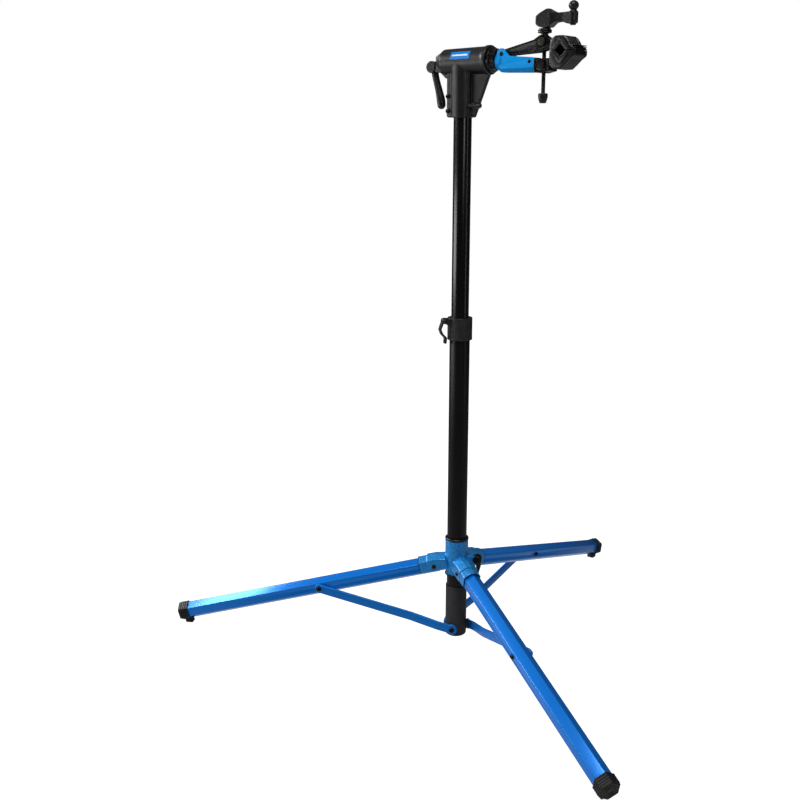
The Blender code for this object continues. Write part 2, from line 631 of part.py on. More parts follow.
def make_head_lever(head):
    """Cam lever at the rear of the head: a forked cam with a curved handle."""
    lever = rod("head_lever", 0.0122, -0.0130, 0.0130, axis="Y", steps=28)
    soften(lever, 0.0015, 2)
    grip = handle("head_lever_grip", [
        (0.0010, 0.0, -0.0020, 0.0066), (0.0030, 0.0, -0.0130, 0.0076), (0.0070, 0.0, -0.0280, 0.0074),
        (0.0140, 0.0, -0.0480, 0.0078), (0.0190, 0.0, -0.0660, 0.0090), (0.0205, 0.0, -0.0780, 0.0086),
        (0.0207, 0.0, -0.0840, 0.0060), (0.0207, 0.0, -0.0858, 0.0020)])
    join(lever, grip)
    cut(lever, box("fork_slot", (-0.0093, -0.0051, -0.0093), (0.0250, 0.0051, 0.0200)))
    cut(lever, rod("fork_hole", 0.0030 + GAP, -0.02, 0.02, axis="Y", steps=10))
    as_part(place(lever, head, (HEAD_LEVER_PIVOT[0], 0.0, HEAD_LEVER_PIVOT[1])), "black_plastic")


def make_thumb_screw(head):
    """Screw with a cross bar, threaded through the boss on the gusset."""
    profile = [(0.0, 0.0085), (BOLT_R, 0.0085), (BOLT_R, -0.0084), (0.0045, -0.0084), (0.0045, -0.0190),
               (BOLT_R, -0.0190), (BOLT_R, -0.0260), (0.0, -0.0260)]
    screw = turned("head_thumb_screw", profile, 16, axis="Y")
    bar = place(rod("screw_bar", 0.0024, -0.0070, 0.0215, axis="X", steps=12), screw, (0.0, -0.0225, 0.0))
    join(screw, bar)
    as_part(place(screw, head, (THUMB_SCREW[0], 0.0, THUMB_SCREW[1])), "steel_black")


def make_head(post, head):
    make_inner_glide(post)
    make_upper_tube(post)
    make_head_casting(head)
    make_head_lever(head)
    make_lever_pin("head_lever_pin", head, (HEAD_LEVER_PIVOT[0], 0.0, HEAD_LEVER_PIVOT[1]), 0.0132, 0.0030)
    make_thumb_screw(head)
    for tag, (x, z) in zip(("upper", "lower"), PINCH_BOLTS):
        screw = bolt(f"pinch_bolt_{tag}", "steel_black", -0.0108, 0.0125, head_r=0.0050, head_h=0.0050)
        place(screw, head, (x, 0.0, z))
    liner = tube("spindle_bushing", BARREL_BORE_R - GAP, SPINDLE_R + GAP, -0.0515, 0.0698, axis="X")
    as_part(place(liner, head), "nylon")


# ---- clamp --------------------------------------------------------------------------------
def make_spindle(head):
    spindle = rod("spindle", SPINDLE_R, -0.0500, 0.0915, axis="X", steps=20)
    as_part(place(spindle, head), "steel")
    rotor_profile = [(SPINDLE_R + GAP, 0.0872), (0.0190, 0.0872), (0.0205, 0.0857), (0.0205, 0.0775),
                     (0.0240, 0.0760), (0.0250, 0.0750), (0.0250, 0.0715), (0.0240, 0.0705),
                     (SPINDLE_R + GAP, 0.0705)]
    rotor = turned("rotor", rotor_profile, 24, closed=True, axis="X")
    as_part(place(rotor, head), "black_cast")


def make_jaw_arm(head):
    """Fixed arm of the clamp: an open-topped channel with two raised lobes for the jaw pivot."""
    outline = [(0.0965, -0.0230), (0.0995, -0.0255), (0.1030, -0.0258), (0.1780, -0.0284), (0.1780, 0.0000),
               (0.1205, 0.0050), (0.1155, 0.0100)]
    outline += arc(JAW_PIVOT, 0.0105, 20, 175, 8)
    outline += [(0.0900, 0.0040), (0.0965, -0.0030)]
    arm = prism("jaw_arm", outline, -ARM_HALF_WIDTH, ARM_HALF_WIDTH)
    back = rod("arm_back", 0.0170, 0.0875, 0.1000, axis="X", steps=28)
    join(arm, place(back, arm, (0.0, 0.0, -0.0040)))
    for side, tag in ((1, "a"), (-1, "b")):
        edge = box(f"arm_chamfer_{tag}", (0.080, -0.006, -0.006), (0.190, 0.006, 0.006))
        cut(arm, place(edge, arm, (0.0, side * ARM_HALF_WIDTH, -0.0272), (math.pi / 4, 0.0, 0.0)))
    cut(arm, box("arm_channel", (0.0922, -0.0110, -0.0205), (0.1790, 0.0110, 0.0300)))
    cut(arm, rod("arm_bore", SPINDLE_R + GAP, 0.0800, 0.0930, axis="X", steps=20))
    for (x, z), tag in ((JAW_PIVOT, "pivot"), ((0.1678, -0.0074), "fixing")):
        cut(arm, place(rod(f"arm_{tag}_hole", BOLT_HOLE_R, -0.03, 0.03, axis="Y", steps=10), arm, (x, 0.0, z)))
    as_part(place(arm, head), "blue_arm", 25.0)


def make_lower_jaw(head):
    """Black end of the fixed arm: a tongue in the arm, a body for the nut and a tongue for the cover."""
    outline = [(0.1520, -0.0200), (0.1783, -0.0200), (0.1783, -0.0288), (0.1960, -0.0300), (0.2140, -0.0262),
               (0.2140, -0.0160), (0.2480, -0.0160), (0.2480, -0.0080), (0.2140, -0.0080), (0.2120, -0.0030),
               (0.1783, -0.0030), (0.1783, -0.0010), (0.1520, -0.0010)]
    jaw = prism("lower_jaw", outline, -ARM_HALF_WIDTH, ARM_HALF_WIDTH)
    for side, tag in ((1, "a"), (-1, "b")):
        low, high = sorted((side * 0.0107, side * 0.0200))
        cut(jaw, box(f"jaw_cheek_{tag}", (0.1500, low, -0.0350), (0.1783, high, 0.0100)))
    cut(jaw, box("rod_slot", (NUT[0] - 0.0080, -0.0048, -0.0400), (NUT[0] + 0.0080, 0.0048, 0.0100)))
    cut(jaw, place(rod("nut_bore", 0.0081, -0.03, 0.03, axis="Y", steps=20), jaw, (NUT[0], 0.0, NUT[1])))
    cut(jaw, place(rod("fixing_hole", BOLT_HOLE_R, -0.03, 0.03, axis="Y", steps=10), jaw, (0.1678, 0.0, -0.0074)))
    as_part(place(jaw, head), "black_cast")


def make_upper_jaw(clamp_pivot):
    """Moving arm of the clamp, with its origin on the pivot: boss, arm, nose and cover tongue."""
    px, pz = JAW_PIVOT
    outline = arc((0.0, 0.0), 0.0085, 70, 250, 10)
    outline += [(x - px, z - pz) for x, z in (
        (0.1200, 0.0062), (0.1818, 0.0090), (0.2010, 0.0130), (0.2120, 0.0135), (0.2140, 0.0200), (0.2540, 0.0200),
        (0.2540, 0.0270), (0.2140, 0.0270), (0.2070, 0.0330), (0.1950, 0.0408), (0.1880, 0.0408),
        (0.1735, 0.0325))]
    half_width = 0.0105
    jaw = prism("upper_jaw", outline, -half_width, half_width)
    at = (TRUNNION[0] - px, 0.0, TRUNNION[1] - pz)
    slot = box("trunnion_slot", (-0.0100, -0.0085, -0.0300), (0.0125, 0.0085, 0.0200))
    cut(jaw, place(rod("trunnion_bore", 0.0081, -0.03, 0.03, axis="Y", steps=20), jaw, at))
    cut(jaw, place(slot, jaw, at))
    cut(jaw, rod("jaw_pivot_hole", BOLT_HOLE_R, -0.03, 0.03, axis="Y", steps=10))
    as_part(place(jaw, clamp_pivot), "black_cast")


def cover_outline(upper):
    """Half of the jaw's outside in (x, z), with a V notch at the clamping line."""
    hole_x, hole_z = CLAMP_HOLE
    turn = 1.0 if upper else -1.0
    split = hole_z + turn * 0.0004
    notch = CLAMP_HOLE_HALF - 0.0004
    if upper:
        points = [(0.2744, 0.0), (0.2722, 0.0035), (0.2625, 0.0095), (0.2592, 0.0160), (0.2543, 0.0222),
                  (0.2480, 0.0268), (0.2290, 0.0268), (0.2190, 0.0200), (0.2170, 0.0)]
    else:
        points = [(0.2744, 0.0), (0.2744, 0.0095), (0.2640, 0.0165), (0.2560, 0.0240), (0.2445, 0.0335),
                  (0.2250, 0.0335), (0.2170, 0.0250), (0.2170, 0.0)]
    outline = [(x, split + turn * z) for x, z in points]
    outline += [(hole_x - notch, split), (hole_x, split + turn * notch), (hole_x + notch, split)]
    return outline


def make_jaw_cover(name, parent, offset, upper):
    """Soft cover that slips over a jaw's tongue."""
    outline = [(x - offset[0], z - offset[1]) for x, z in cover_outline(upper)]
    cover = prism(name, outline, -JAW_HALF_WIDTH, JAW_HALF_WIDTH)
    soften(cover, 0.0012, 1)
    low, high, end = (0.0200, 0.0270, 0.2540) if upper else (-0.0160, -0.0080, 0.2480)
    half_width = 0.0105 if upper else ARM_HALF_WIDTH
    pocket = box(f"{name}_pocket", (0.2100, -half_width - GAP, low - GAP), (end + GAP, half_width + GAP, high + GAP))
    cut(cover, place(pocket, cover, (-offset[0], 0.0, -offset[1])))
    as_part(place(cover, parent), "rubber")


def make_trunnion(head):
    """Cross pin in the moving jaw that the screw passes through, with a seat for the washer."""
    trunnion = rod("trunnion", 0.0078, -0.0135, 0.0135, axis="Y", steps=20)
    seat = rod("trunnion_seat", 0.0070, 0.0, 0.0138, steps=20)
    join(trunnion, seat)
    cut(trunnion, rod("trunnion_hole", 0.0049, -0.03, 0.03, steps=18))
    as_part(place(trunnion, head, (TRUNNION[0], 0.0, TRUNNION[1])), "steel_black")


def make_barrel_nut(head):
    """Threaded cross pin in the fixed jaw."""
    nut = rod("barrel_nut", 0.0078, -0.0138, 0.0138, axis="Y", steps=20)
    cut(nut, rod("nut_thread", ROD_R + GAP, -0.03, 0.03, steps=18))
    as_part(place(nut, head, (NUT[0], 0.0, NUT[1])), "steel_black")


def make_clamp_screw(screw):
    """Clamp screw with the stop on its lower end, and the washers that the cam presses on."""
    pin_z = CAM_PIN_Z
    shaft = rod("clamp_screw", ROD_R, -0.0862, pin_z + 0.0048, steps=20)
    cut(shaft, place(rod("screw_eye", 0.0020 + GAP, -0.02, 0.02, axis="Y", steps=10), shaft, (0.0, 0.0, pin_z)))
    as_part(place(shaft, screw), "steel_black")
    stop_profile = [(ROD_R + GAP, -0.0677), (0.0085, -0.0677), (0.0095, -0.0692), (0.0095, -0.0750),
                    (0.0084, -0.0800), (0.0062, -0.0864), (ROD_R + GAP, -0.0864)]
    as_part(place(turned("screw_end_stop", stop_profile, 28, closed=True), screw), "black_plastic")
    washer_profile = [(ROD_R + GAP, 0.0533), (0.0090, 0.0533), (0.0095, 0.0510), (0.0130, 0.0508), (0.0135, 0.0500),
                      (0.0135, 0.0455), (0.0125, 0.0446), (0.0080, 0.0446), (0.0080, 0.0431), (ROD_R + GAP, 0.0431)]
    as_part(place(turned("thrust_washer", washer_profile, 24, closed=True), screw), "steel_black")
    make_lever_pin("cam_pin", screw, (0.0, 0.0, pin_z), 0.0118, 0.0020)


def make_crank(cam_axis):
    """Quick-release crank: a forked cam on the screw, an arm and a turning knob on its end."""
    reach = 0.0208
    arm_end = KNOB_X - TRUNNION[0]
    outline = [(-0.0154, 0.0010), (-0.0154, -0.0130)] + arc((0.0, 0.0), reach, 225, 262, 4)
    outline += [(0.0135, -reach), (0.0155, -0.0190), (0.0230, -0.0135), (0.0420, -0.0130), (0.0520, -0.0165),
                (0.0760, -0.0165), (0.0760, 0.0060), (0.0330, 0.0060), (0.0220, 0.0070), (0.0100, 0.0140),
                (0.0040, 0.0140)]
    arm_half = 0.0092
    plan = [(0.0300, -arm_half), (arm_end, -arm_half)] + arc((arm_end, 0.0), arm_half, -75, 75, 8)
    plan += [(arm_end, arm_half), (0.0300, arm_half), (0.0170, 0.0115), (-0.0200, 0.0115), (-0.0200, -0.0115),
             (0.0170, -0.0115)]
    crank = prism("crank_handle", outline, -0.0130, 0.0130)
    boolean(crank, prism("crank_plan", plan, -0.0400, 0.0400, "XY"), "INTERSECT")
    soften(crank, 0.0015, 2)
    cut(crank, box("crank_slot", (-0.0300, -ROD_R - GAP, -0.0300), (0.0090, ROD_R + GAP, 0.0200)))
    cut(crank, rod("crank_hole", 0.0020 + GAP, -0.02, 0.02, axis="Y", steps=10))
    knob_hole = rod("knob_pin_hole", BOLT_HOLE_R, -0.0250, 0.0150, steps=10)
    cut(crank, place(knob_hole, crank, (arm_end, 0.0, 0.0)))
    as_part(place(crank, cam_axis), "black_plastic")
    at = (arm_end, 0.0, 0.0)
    pin_profile = [(0.0, 0.0180), (BOLT_R, 0.0180), (BOLT_R, -0.0168), (BOLT_HEAD_R, -0.0168),
                   (BOLT_HEAD_R, -0.0190), (0.0, -0.0190)]
    as_part(place(turned("knob_pin", pin_profile, 10), cam_axis, at), "steel_black")
    bore = BOLT_R + GAP
    ball = arc((0.0, 0.0178), 0.0097, 80, -50, 8)
    knob_profile = [(0.0, 0.0276)] + ball + [(0.0060, 0.0075), (0.0060, 0.0063), (bore, 0.0063), (bore, 0.0184), (0.0, 0.0184)]
    as_part(place(turned("crank_knob", knob_profile, 18), cam_axis, at), "black_plastic")


def make_clamp(head, clamp_pivot):
    make_spindle(head)
    make_jaw_arm(head)
    make_lower_jaw(head)
    make_upper_jaw(clamp_pivot)
    make_jaw_cover("lower_jaw_cover", head, (0.0, 0.0), False)
    make_jaw_cover("upper_jaw_cover", clamp_pivot, JAW_PIVOT, True)
    for tag, (x, z) in (("jaw_pivot_bolt", JAW_PIVOT), ("jaw_fixing_bolt", (0.1678, -0.0074))):
        head_h = 0.0020
        part = bolt(tag, "steel_black", -ARM_HALF_WIDTH - GAP, ARM_HALF_WIDTH, head_r=0.0046, head_h=head_h)
        place(part, head, (x, 0.0, z))
    make_trunnion(head)
    make_barrel_nut(head)
    screw = new_empty("screw_axis", head, (TRUNNION[0], 0.0, 0.0))
    make_clamp_screw(screw)
    make_crank(new_empty("cam_axis", screw, (0.0, 0.0, CAM_PIN_Z)))


def main():
    post = new_empty("post_axis", None, (0.0, POST_Y, 0.0))
    length, rise = strut_length()
    leg_frames = [new_empty(f"{n}_side", post, rotation=(0.0, 0.0, math.radians(a)))
                  for n, a in zip(LEG_NAMES, LEG_AZIMUTHS)]
    leg_axes = [new_empty(f"{n}_leg_axis", f, (HUB_PIVOT_R, 0.0, HUB_PIVOT_Z), (0.0, LEG_SLOPE, 0.0))
                for n, f in zip(LEG_NAMES, leg_frames)]
    strut_axes = [new_empty(f"{n}_strut_axis", f, (STRUT_BASE_R, 0.0, STRUT_BASE_Z), (0.0, -rise, 0.0))
                  for n, f in zip(LEG_NAMES, leg_frames)]
    collar_frame = new_empty("collar_side", post, rotation=(0.0, 0.0, math.radians(COLLAR_LEVER_AZIMUTH)))
    lever_frame = new_empty("hub_lever_side", post, rotation=(0.0, 0.0, math.radians(HUB_LEVER_AZIMUTH)))
    head = new_empty("head_axis", post, (0.0, 0.0, SPINDLE_Z))
    clamp_pivot = new_empty("jaw_axis", head, (JAW_PIVOT[0], 0.0, JAW_PIVOT[1]))
    make_post(post, leg_frames, collar_frame)
    make_hub(post, leg_axes, lever_frame)
    make_legs(leg_frames, leg_axes, strut_axes)
    make_head(post, head)
    make_clamp(head, clamp_pivot)


main()
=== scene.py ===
import math

import bmesh
import bpy
from mathutils import Matrix, Vector


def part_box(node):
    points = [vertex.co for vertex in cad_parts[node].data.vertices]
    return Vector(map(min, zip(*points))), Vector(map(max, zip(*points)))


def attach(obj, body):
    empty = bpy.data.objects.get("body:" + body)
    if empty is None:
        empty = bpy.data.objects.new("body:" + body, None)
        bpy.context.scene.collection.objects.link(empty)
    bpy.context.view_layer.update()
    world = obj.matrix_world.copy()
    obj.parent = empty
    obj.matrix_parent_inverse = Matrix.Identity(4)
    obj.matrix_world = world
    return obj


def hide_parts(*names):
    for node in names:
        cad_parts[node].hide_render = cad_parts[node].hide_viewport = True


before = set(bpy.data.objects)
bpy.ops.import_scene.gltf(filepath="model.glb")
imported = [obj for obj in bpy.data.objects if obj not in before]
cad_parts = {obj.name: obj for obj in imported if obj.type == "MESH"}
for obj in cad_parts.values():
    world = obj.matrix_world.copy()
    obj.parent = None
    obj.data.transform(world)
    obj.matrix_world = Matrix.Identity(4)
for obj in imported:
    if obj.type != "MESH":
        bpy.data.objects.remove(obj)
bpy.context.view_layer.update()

# ---- places and sizes, in metres ------------------------------------------------------------
GAP = 0.0003                      # clearance between neighbouring pieces
NAMES = ("rear", "left", "right")
AZIMUTHS = {"rear": 90.0, "left": 210.0, "right": 330.0}
COLLAR_LEVER_SIDE, HUB_LEVER_SIDE = 240.0, 30.0
tube_low, tube_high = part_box("lower_tube")
POST_Y = (tube_low[1] + tube_high[1]) / 2
SPINDLE_Z = 1.3010
LEG_SLOPE = 14.9
SLOPE = math.radians(LEG_SLOPE)
PAD_ALONG, PAD_DROP = 0.6300, 0.0286
PIVOT_R, PIVOT_Z = 0.0501, PAD_ALONG * math.sin(SLOPE) + PAD_DROP * math.cos(SLOPE)
STRUT_AT, STRUT_BASE_R, STRUT_BASE_Z = 0.2817, 0.0065, 0.0392
STRUT_JOG, STRUT_THICK = 0.0078, 0.0060
HALF_FLATS = 0.0180               # half of a leg's width across its flats
LEG_WALL, LEG_START, LEG_END, FOOT_START = 0.0020, -0.0065, 0.6430, 0.6210
HUB_WALL, HUB_ROOF = 0.0024, 0.0128
LOWER_R, UPPER_R, TUBE_WALL = 0.02222, 0.01905, 0.0016
BARREL_R = 0.0254
JAW_PIVOT = (0.1022, 0.0096)
JAW_FIXING = (0.1678, -0.0074)
TRUNNION = (0.1925, 0.0285)
NUT = (0.1925, -0.0141)
HUB_LEVER = (0.0480, 0.2060)
HEAD_LEVER = (-0.0757, -0.0088)
PINCH = ((-0.0306, -0.0690), (-0.0306, -0.0985))
THUMB = (0.0385, -0.0885)
CAM_Z = 0.0748
KNOB_X = 0.2541
SHANK_R, BOLT_HOLE, PIN_HOLE = 0.0030, 0.0033, 0.0027


def move(x, y, z):
    return Matrix.Translation((x, y, z))


def turn(degrees, axis):
    return Matrix.Rotation(math.radians(degrees), 4, axis)


POST = move(0.0, POST_Y, 0.0)
HEAD = POST @ move(0.0, 0.0, SPINDLE_Z)
strut_run = PIVOT_R + STRUT_AT * math.cos(SLOPE) - STRUT_BASE_R
strut_rise = PIVOT_Z - STRUT_AT * math.sin(SLOPE) - STRUT_BASE_Z
STRUT_LENGTH = math.hypot(strut_run, strut_rise)
STRUT_ANGLE = math.degrees(math.atan2(strut_rise, strut_run))


def side_frame(degrees):
    return POST @ turn(degrees, "Z")


def leg_axis(name):
    return turn(AZIMUTHS[name], "Z") @ move(PIVOT_R, 0, PIVOT_Z) @ turn(LEG_SLOPE, "Y")


def leg_frame(name):
    return side_frame(AZIMUTHS[name]) @ move(PIVOT_R, 0.0, PIVOT_Z) @ turn(LEG_SLOPE, "Y")


def strut_frame(name):
    return side_frame(AZIMUTHS[name]) @ move(STRUT_BASE_R, 0.0, STRUT_BASE_Z) @ turn(-STRUT_ANGLE, "Y")


# ---- outlines -------------------------------------------------------------------------------
def arc(centre, radius, start, end, steps):
    points = []
    for i in range(steps + 1):
        a = math.radians(start + (end - start) * i / steps)
        points.append((centre[0] + radius * math.cos(a), centre[1] + radius * math.sin(a)))
    return points


def rounded(points, radius, steps=3, closed=True, least=12.0):
    """Round each corner of an outline that turns by more than least degrees."""
    count = len(points)
    result = []
    for i, point in enumerate(points):
        if not closed and i in (0, count - 1):
            result.append(point)
            continue
        here = Vector(point)
        back = Vector(points[i - 1]) - here
        ahead = Vector(points[(i + 1) % count]) - here
        if back.length < 1e-7 or ahead.length < 1e-7:
            result.append(point)
            continue
        bend = math.degrees(back.angle(ahead))
        if 180.0 - bend < least:
            result.append(point)
            continue
        reach = max(radius / math.tan(math.radians(bend) / 2), 0.0002)
        reach = min(reach, back.length * 0.46, ahead.length * 0.46)
        first = here + back.normalized() * reach
        last = here + ahead.normalized() * reach
        for k in range(steps + 1):
            t = k / steps
            result.append(tuple(first * (1 - t) ** 2 + here * 2 * t * (1 - t) + last * t ** 2))
    return result


def hexagon(half_flats, radius, steps=4):
    """Leg section with a ridge up, its corners rounded."""
    corner = half_flats / math.cos(math.pi / 6)
    turns = [math.radians(60 * i) for i in range(6)]
    return rounded([(corner * math.sin(a), corner * math.cos(a)) for a in turns], radius, steps)


# ---- meshes ---------------------------------------------------------------------------------
def new_object(name, work):
    bmesh.ops.recalc_face_normals(work, faces=work.faces)
    mesh = bpy.data.meshes.new(name)
    work.to_mesh(mesh)
    work.free()
    obj = bpy.data.objects.new(name, mesh)
    bpy.context.scene.collection.objects.link(obj)
    return obj


AXES = {"Z": Matrix(), "X": turn(90, "Y"), "Y": turn(-90, "X")}


def lathe(name, profile, steps=96, axis="Z", closed=True):
    """Revolve (radius, height) points: closed into a ring, or open from radius 0 to radius 0."""
    work = bmesh.new()
    rings = []
    for r, z in profile:
        if r < 1e-6:
            rings.append([work.verts.new((0.0, 0.0, z))] * steps)
        else:
            turns = [2 * math.pi * k / steps for k in range(steps)]
            rings.append([work.verts.new((r * math.cos(a), r * math.sin(a), z)) for a in turns])
    pairs = list(zip(rings, rings[1:]))
    if closed:
        pairs.append((rings[-1], rings[0]))
    for upper, lower in pairs:
        for k in range(steps):
            j = (k + 1) % steps
            corners = []
            for v in (upper[k], upper[j], lower[j], lower[k]):
                if v not in corners:
                    corners.append(v)
            if len(corners) > 2:
                work.faces.new(corners)
    work.transform(AXES[axis])
    return new_object(name, work)


def turned(name, profile, radius=0.0005, steps=96, axis="Z", closed=True):
    return lathe(name, rounded(profile, radius, 3, closed), steps, axis, closed)


def rod(name, r, low, high, axis="Z", steps=64, radius=0.0004):
    return turned(name, [(0.0, high), (r, high), (r, low), (0.0, low)], radius, steps, axis, False)


SPOT = {"XZ": lambda a, b, d: (a, d, b), "XY": lambda a, b, d: (a, b, d), "YZ": lambda a, b, d: (d, a, b)}


def loft(name, layers, plane="XZ"):
    """Join outlines of equal length, each with its depth, into a closed solid."""
    work = bmesh.new()
    rings = [[work.verts.new(SPOT[plane](a, b, depth)) for a, b in outline] for outline, depth in layers]
    for one, two in zip(rings, rings[1:]):
        for k in range(len(one)):
            j = (k + 1) % len(one)
            work.faces.new((one[k], one[j], two[j], two[k]))
    work.faces.new(rings[0])
    work.faces.new(rings[-1])
    return new_object(name, work)


def slab(name, outline, low, high, plane="XZ"):
    return loft(name, [(outline, low), (outline, high)], plane)


def block(name, low, high):
    outline = [(low[0], low[1]), (high[0], low[1]), (high[0], high[1]), (low[0], high[1])]
    return slab(name, outline, low[2], high[2], "XY")


def pipe(name, points, steps=24, rings=8):
    """Round bar along a smooth path of (x, y, z, radius) points, with domed ends."""
    path = []
    for i in range(len(points) - 1):
        p = [Vector(points[max(0, min(len(points) - 1, i + d))]) for d in (-1, 0, 1, 2)]
        for k in range(rings):
            t = k / rings
            curve = (2 * p[0] - 5 * p[1] + 4 * p[2] - p[3]) * t * t
            path.append(0.5 * (2 * p[1] + (p[2] - p[0]) * t + curve
                               + (3 * p[1] - p[0] - 3 * p[2] + p[3]) * t ** 3))
    path.append(Vector(points[-1]))
    spots = [Vector(p[:3]) for p in path]
    radii = [p[3] for p in path]
    first = (spots[1] - spots[0]).normalized()
    last = (spots[-1] - spots[-2]).normalized()
    capped = []
    for k in range(5):
        a = math.radians(85 - 17 * k)
        capped.append((spots[0] - first * radii[0] * math.sin(a), radii[0] * math.cos(a)))
    capped += list(zip(spots, radii))
    for k in range(1, 6):
        a = math.radians(17 * k)
        capped.append((spots[-1] + last * radii[-1] * math.sin(a), radii[-1] * math.cos(a)))
    work = bmesh.new()
    side = first.orthogonal().normalized()
    loops = []
    last_ring = len(capped) - 1
    for i, (spot, r) in enumerate(capped):
        ahead = capped[min(i + 1, last_ring)][0] - capped[max(i - 1, 0)][0]
        ahead.normalize()
        side = (side - ahead * side.dot(ahead)).normalized()
        other = ahead.cross(side)
        turns = [2 * math.pi * k / steps for k in range(steps)]
        loops.append([work.verts.new(spot + r * (side * math.cos(a) + other * math.sin(a))) for a in turns])
    for one, two in zip(loops, loops[1:]):
        for k in range(steps):
            j = (k + 1) % steps
            work.faces.new((one[k], one[j], two[j], two[k]))
    work.faces.new(loops[0])
    work.faces.new(loops[-1])
    return new_object(name, work)


def at(obj, matrix):
    obj.data.transform(matrix)
    return obj


def spoked(obj, degrees):
    return at(obj, turn(degrees, "Z"))


def bake(obj):
    bpy.context.view_layer.update()
    mesh = bpy.data.meshes.new_from_object(obj.evaluated_get(bpy.context.evaluated_depsgraph_get()))
    obj.modifiers.clear()
    old = obj.data
    obj.data = mesh
    bpy.data.meshes.remove(old)
    return obj


def combine(obj, others, operation):
    for other in others:
        step = obj.modifiers.new("step", "BOOLEAN")
        step.operation = operation
        step.solver = "EXACT"
        step.object = other
    bake(obj)
    for other in others:
        bpy.data.objects.remove(other, do_unlink=True)
    return obj


def join(obj, *others):
    return combine(obj, others, "UNION")


def cut(obj, *others):
    return combine(obj, others, "DIFFERENCE")


def common(obj, *others):
    return combine(obj, others, "INTERSECT")


def drill(obj, *spots):
    """Bolt holes along Y at the given (x, z) places."""
    for x, z in spots:
        cut(obj, at(rod("hole", BOLT_HOLE, -0.03, 0.03, "Y", 32), move(x, 0, z)))


def soften(obj, width=0.0008, segments=3, angle=38.0):
    bevel = obj.modifiers.new("edge", "BEVEL")
    bevel.width = width
    bevel.segments = segments
    bevel.limit_method = "ANGLE"
    bevel.angle_limit = math.radians(angle)
    bevel.miter_outer = "MITER_ARC"
    return bake(obj)


def cast(obj, voxel=0.0009, rounds=8):
    """Flow a joined shape into one casting with filleted corners."""
    remesh = obj.modifiers.new("cast", "REMESH")
    remesh.mode = "VOXEL"
    remesh.voxel_size = voxel
    smooth = obj.modifiers.new("flow", "SMOOTH")
    smooth.factor = 0.5
    smooth.iterations = rounds
    return bake(obj)


# ---- materials ------------------------------------------------------------------------------
def noise(tree, vector, scale, detail):
    node = tree.nodes.new("ShaderNodeTexNoise")
    node.inputs["Scale"].default_value = scale
    node.inputs["Detail"].default_value = detail
    tree.links.new(vector, node.inputs["Vector"])
    return node.outputs["Fac"]


def remap(tree, value, low, high, to_low, to_high):
    node = tree.nodes.new("ShaderNodeMapRange")
    for socket, number in (("From Min", low), ("From Max", high), ("To Min", to_low), ("To Max", to_high)):
        node.inputs[socket].default_value = number
    tree.links.new(value, node.inputs["Value"])
    return node.outputs["Result"]


def pale_edges_wear_and_highlight(tree, paint, colour, edge):
    """Paler colour on the edges that stand out: partly worn paint, partly a painted highlight along the
    edges.
    """
    geometry = tree.nodes.new("ShaderNodeNewGeometry")
    mix = tree.nodes.new("ShaderNodeMix")
    mix.data_type = "RGBA"
    # pale edge colour: partly worn paint, partly a painted highlight standing in for light caught on the
    # edges
    mix.inputs["B"].default_value = (*[min(1.0, c * 2.2 + 0.03) for c in colour], 1.0)
    tree.links.new(remap(tree, geometry.outputs["Pointiness"], 0.53, 0.62, 0.0, edge), mix.inputs["Factor"])
    tree.links.new(paint, mix.inputs["A"])
    return mix.outputs["Result"]


def surface(name, colour, second, roughness, spread, metallic=0.0, specular=0.5, mottle=30.0,
            stretch=(1, 1, 1), grain=900.0, bump=0.1, grain_depth=0.0002, edge=0.0):
    """Two colours in a soft mottle, uneven gloss, a fine grain in the relief, and paler edges: partly rubbed
    paint, partly a painted highlight.
    """
    material = bpy.data.materials.new(name)
    material.use_nodes = True
    tree = material.node_tree
    nodes, links = tree.nodes, tree.links
    shader = nodes["Principled BSDF"]
    shader.inputs["Metallic"].default_value = metallic
    shader.inputs["Specular IOR Level"].default_value = specular
    place = nodes.new("ShaderNodeTexCoord")
    scale = nodes.new("ShaderNodeMapping")
    scale.inputs["Scale"].default_value = stretch
    links.new(place.outputs["Object"], scale.inputs["Vector"])
    vector = scale.outputs["Vector"]
    ramp = nodes.new("ShaderNodeValToRGB")
    for element, where, tint in zip(ramp.color_ramp.elements, (0.35, 0.68), (second, colour)):
        element.position = where
        element.color = (*tint, 1.0)
    links.new(noise(tree, vector, mottle, 5.0), ramp.inputs["Fac"])
    paint = ramp.outputs["Color"]
    if edge:
        paint = pale_edges_wear_and_highlight(tree, paint, colour, edge)
    links.new(paint, shader.inputs["Base Color"])
    gloss = noise(tree, vector, mottle * 2.7, 4.0)
    uneven = remap(tree, gloss, 0.3, 0.7, roughness - spread, roughness + spread)
    links.new(uneven, shader.inputs["Roughness"])
    relief = nodes.new("ShaderNodeBump")
    relief.inputs["Strength"].default_value = bump
    relief.inputs["Distance"].default_value = grain_depth
    links.new(noise(tree, vector, grain, 3.0), relief.inputs["Height"])
    links.new(relief.outputs["Normal"], shader.inputs["Normal"])
    return material


# edge= pales the pointy edges of a material: partly worn paint, partly a painted highlight
BLUE = surface("blue_anodised", (0.001, 0.190, 0.720), (0.001, 0.168, 0.650), 0.22, 0.04, metallic=0.30,
    specular=0.38, mottle=9.0, stretch=(0.06, 1, 1), grain=1400.0, bump=0.08)
BLUE_STRUT = surface("blue_strut", (0.002, 0.190, 0.660), (0.001, 0.155, 0.560), 0.34, 0.06,
    metallic=0.15, specular=0.30, mottle=12.0, stretch=(0.1, 1, 1), grain=900.0, bump=0.15)
BLUE_CAST = surface("blue_cast", (0.020, 0.290, 0.680), (0.004, 0.180, 0.540), 0.24, 0.07, metallic=0.30,
    specular=0.60, mottle=210.0, grain=520.0, bump=0.65, grain_depth=0.0006, edge=0.35)
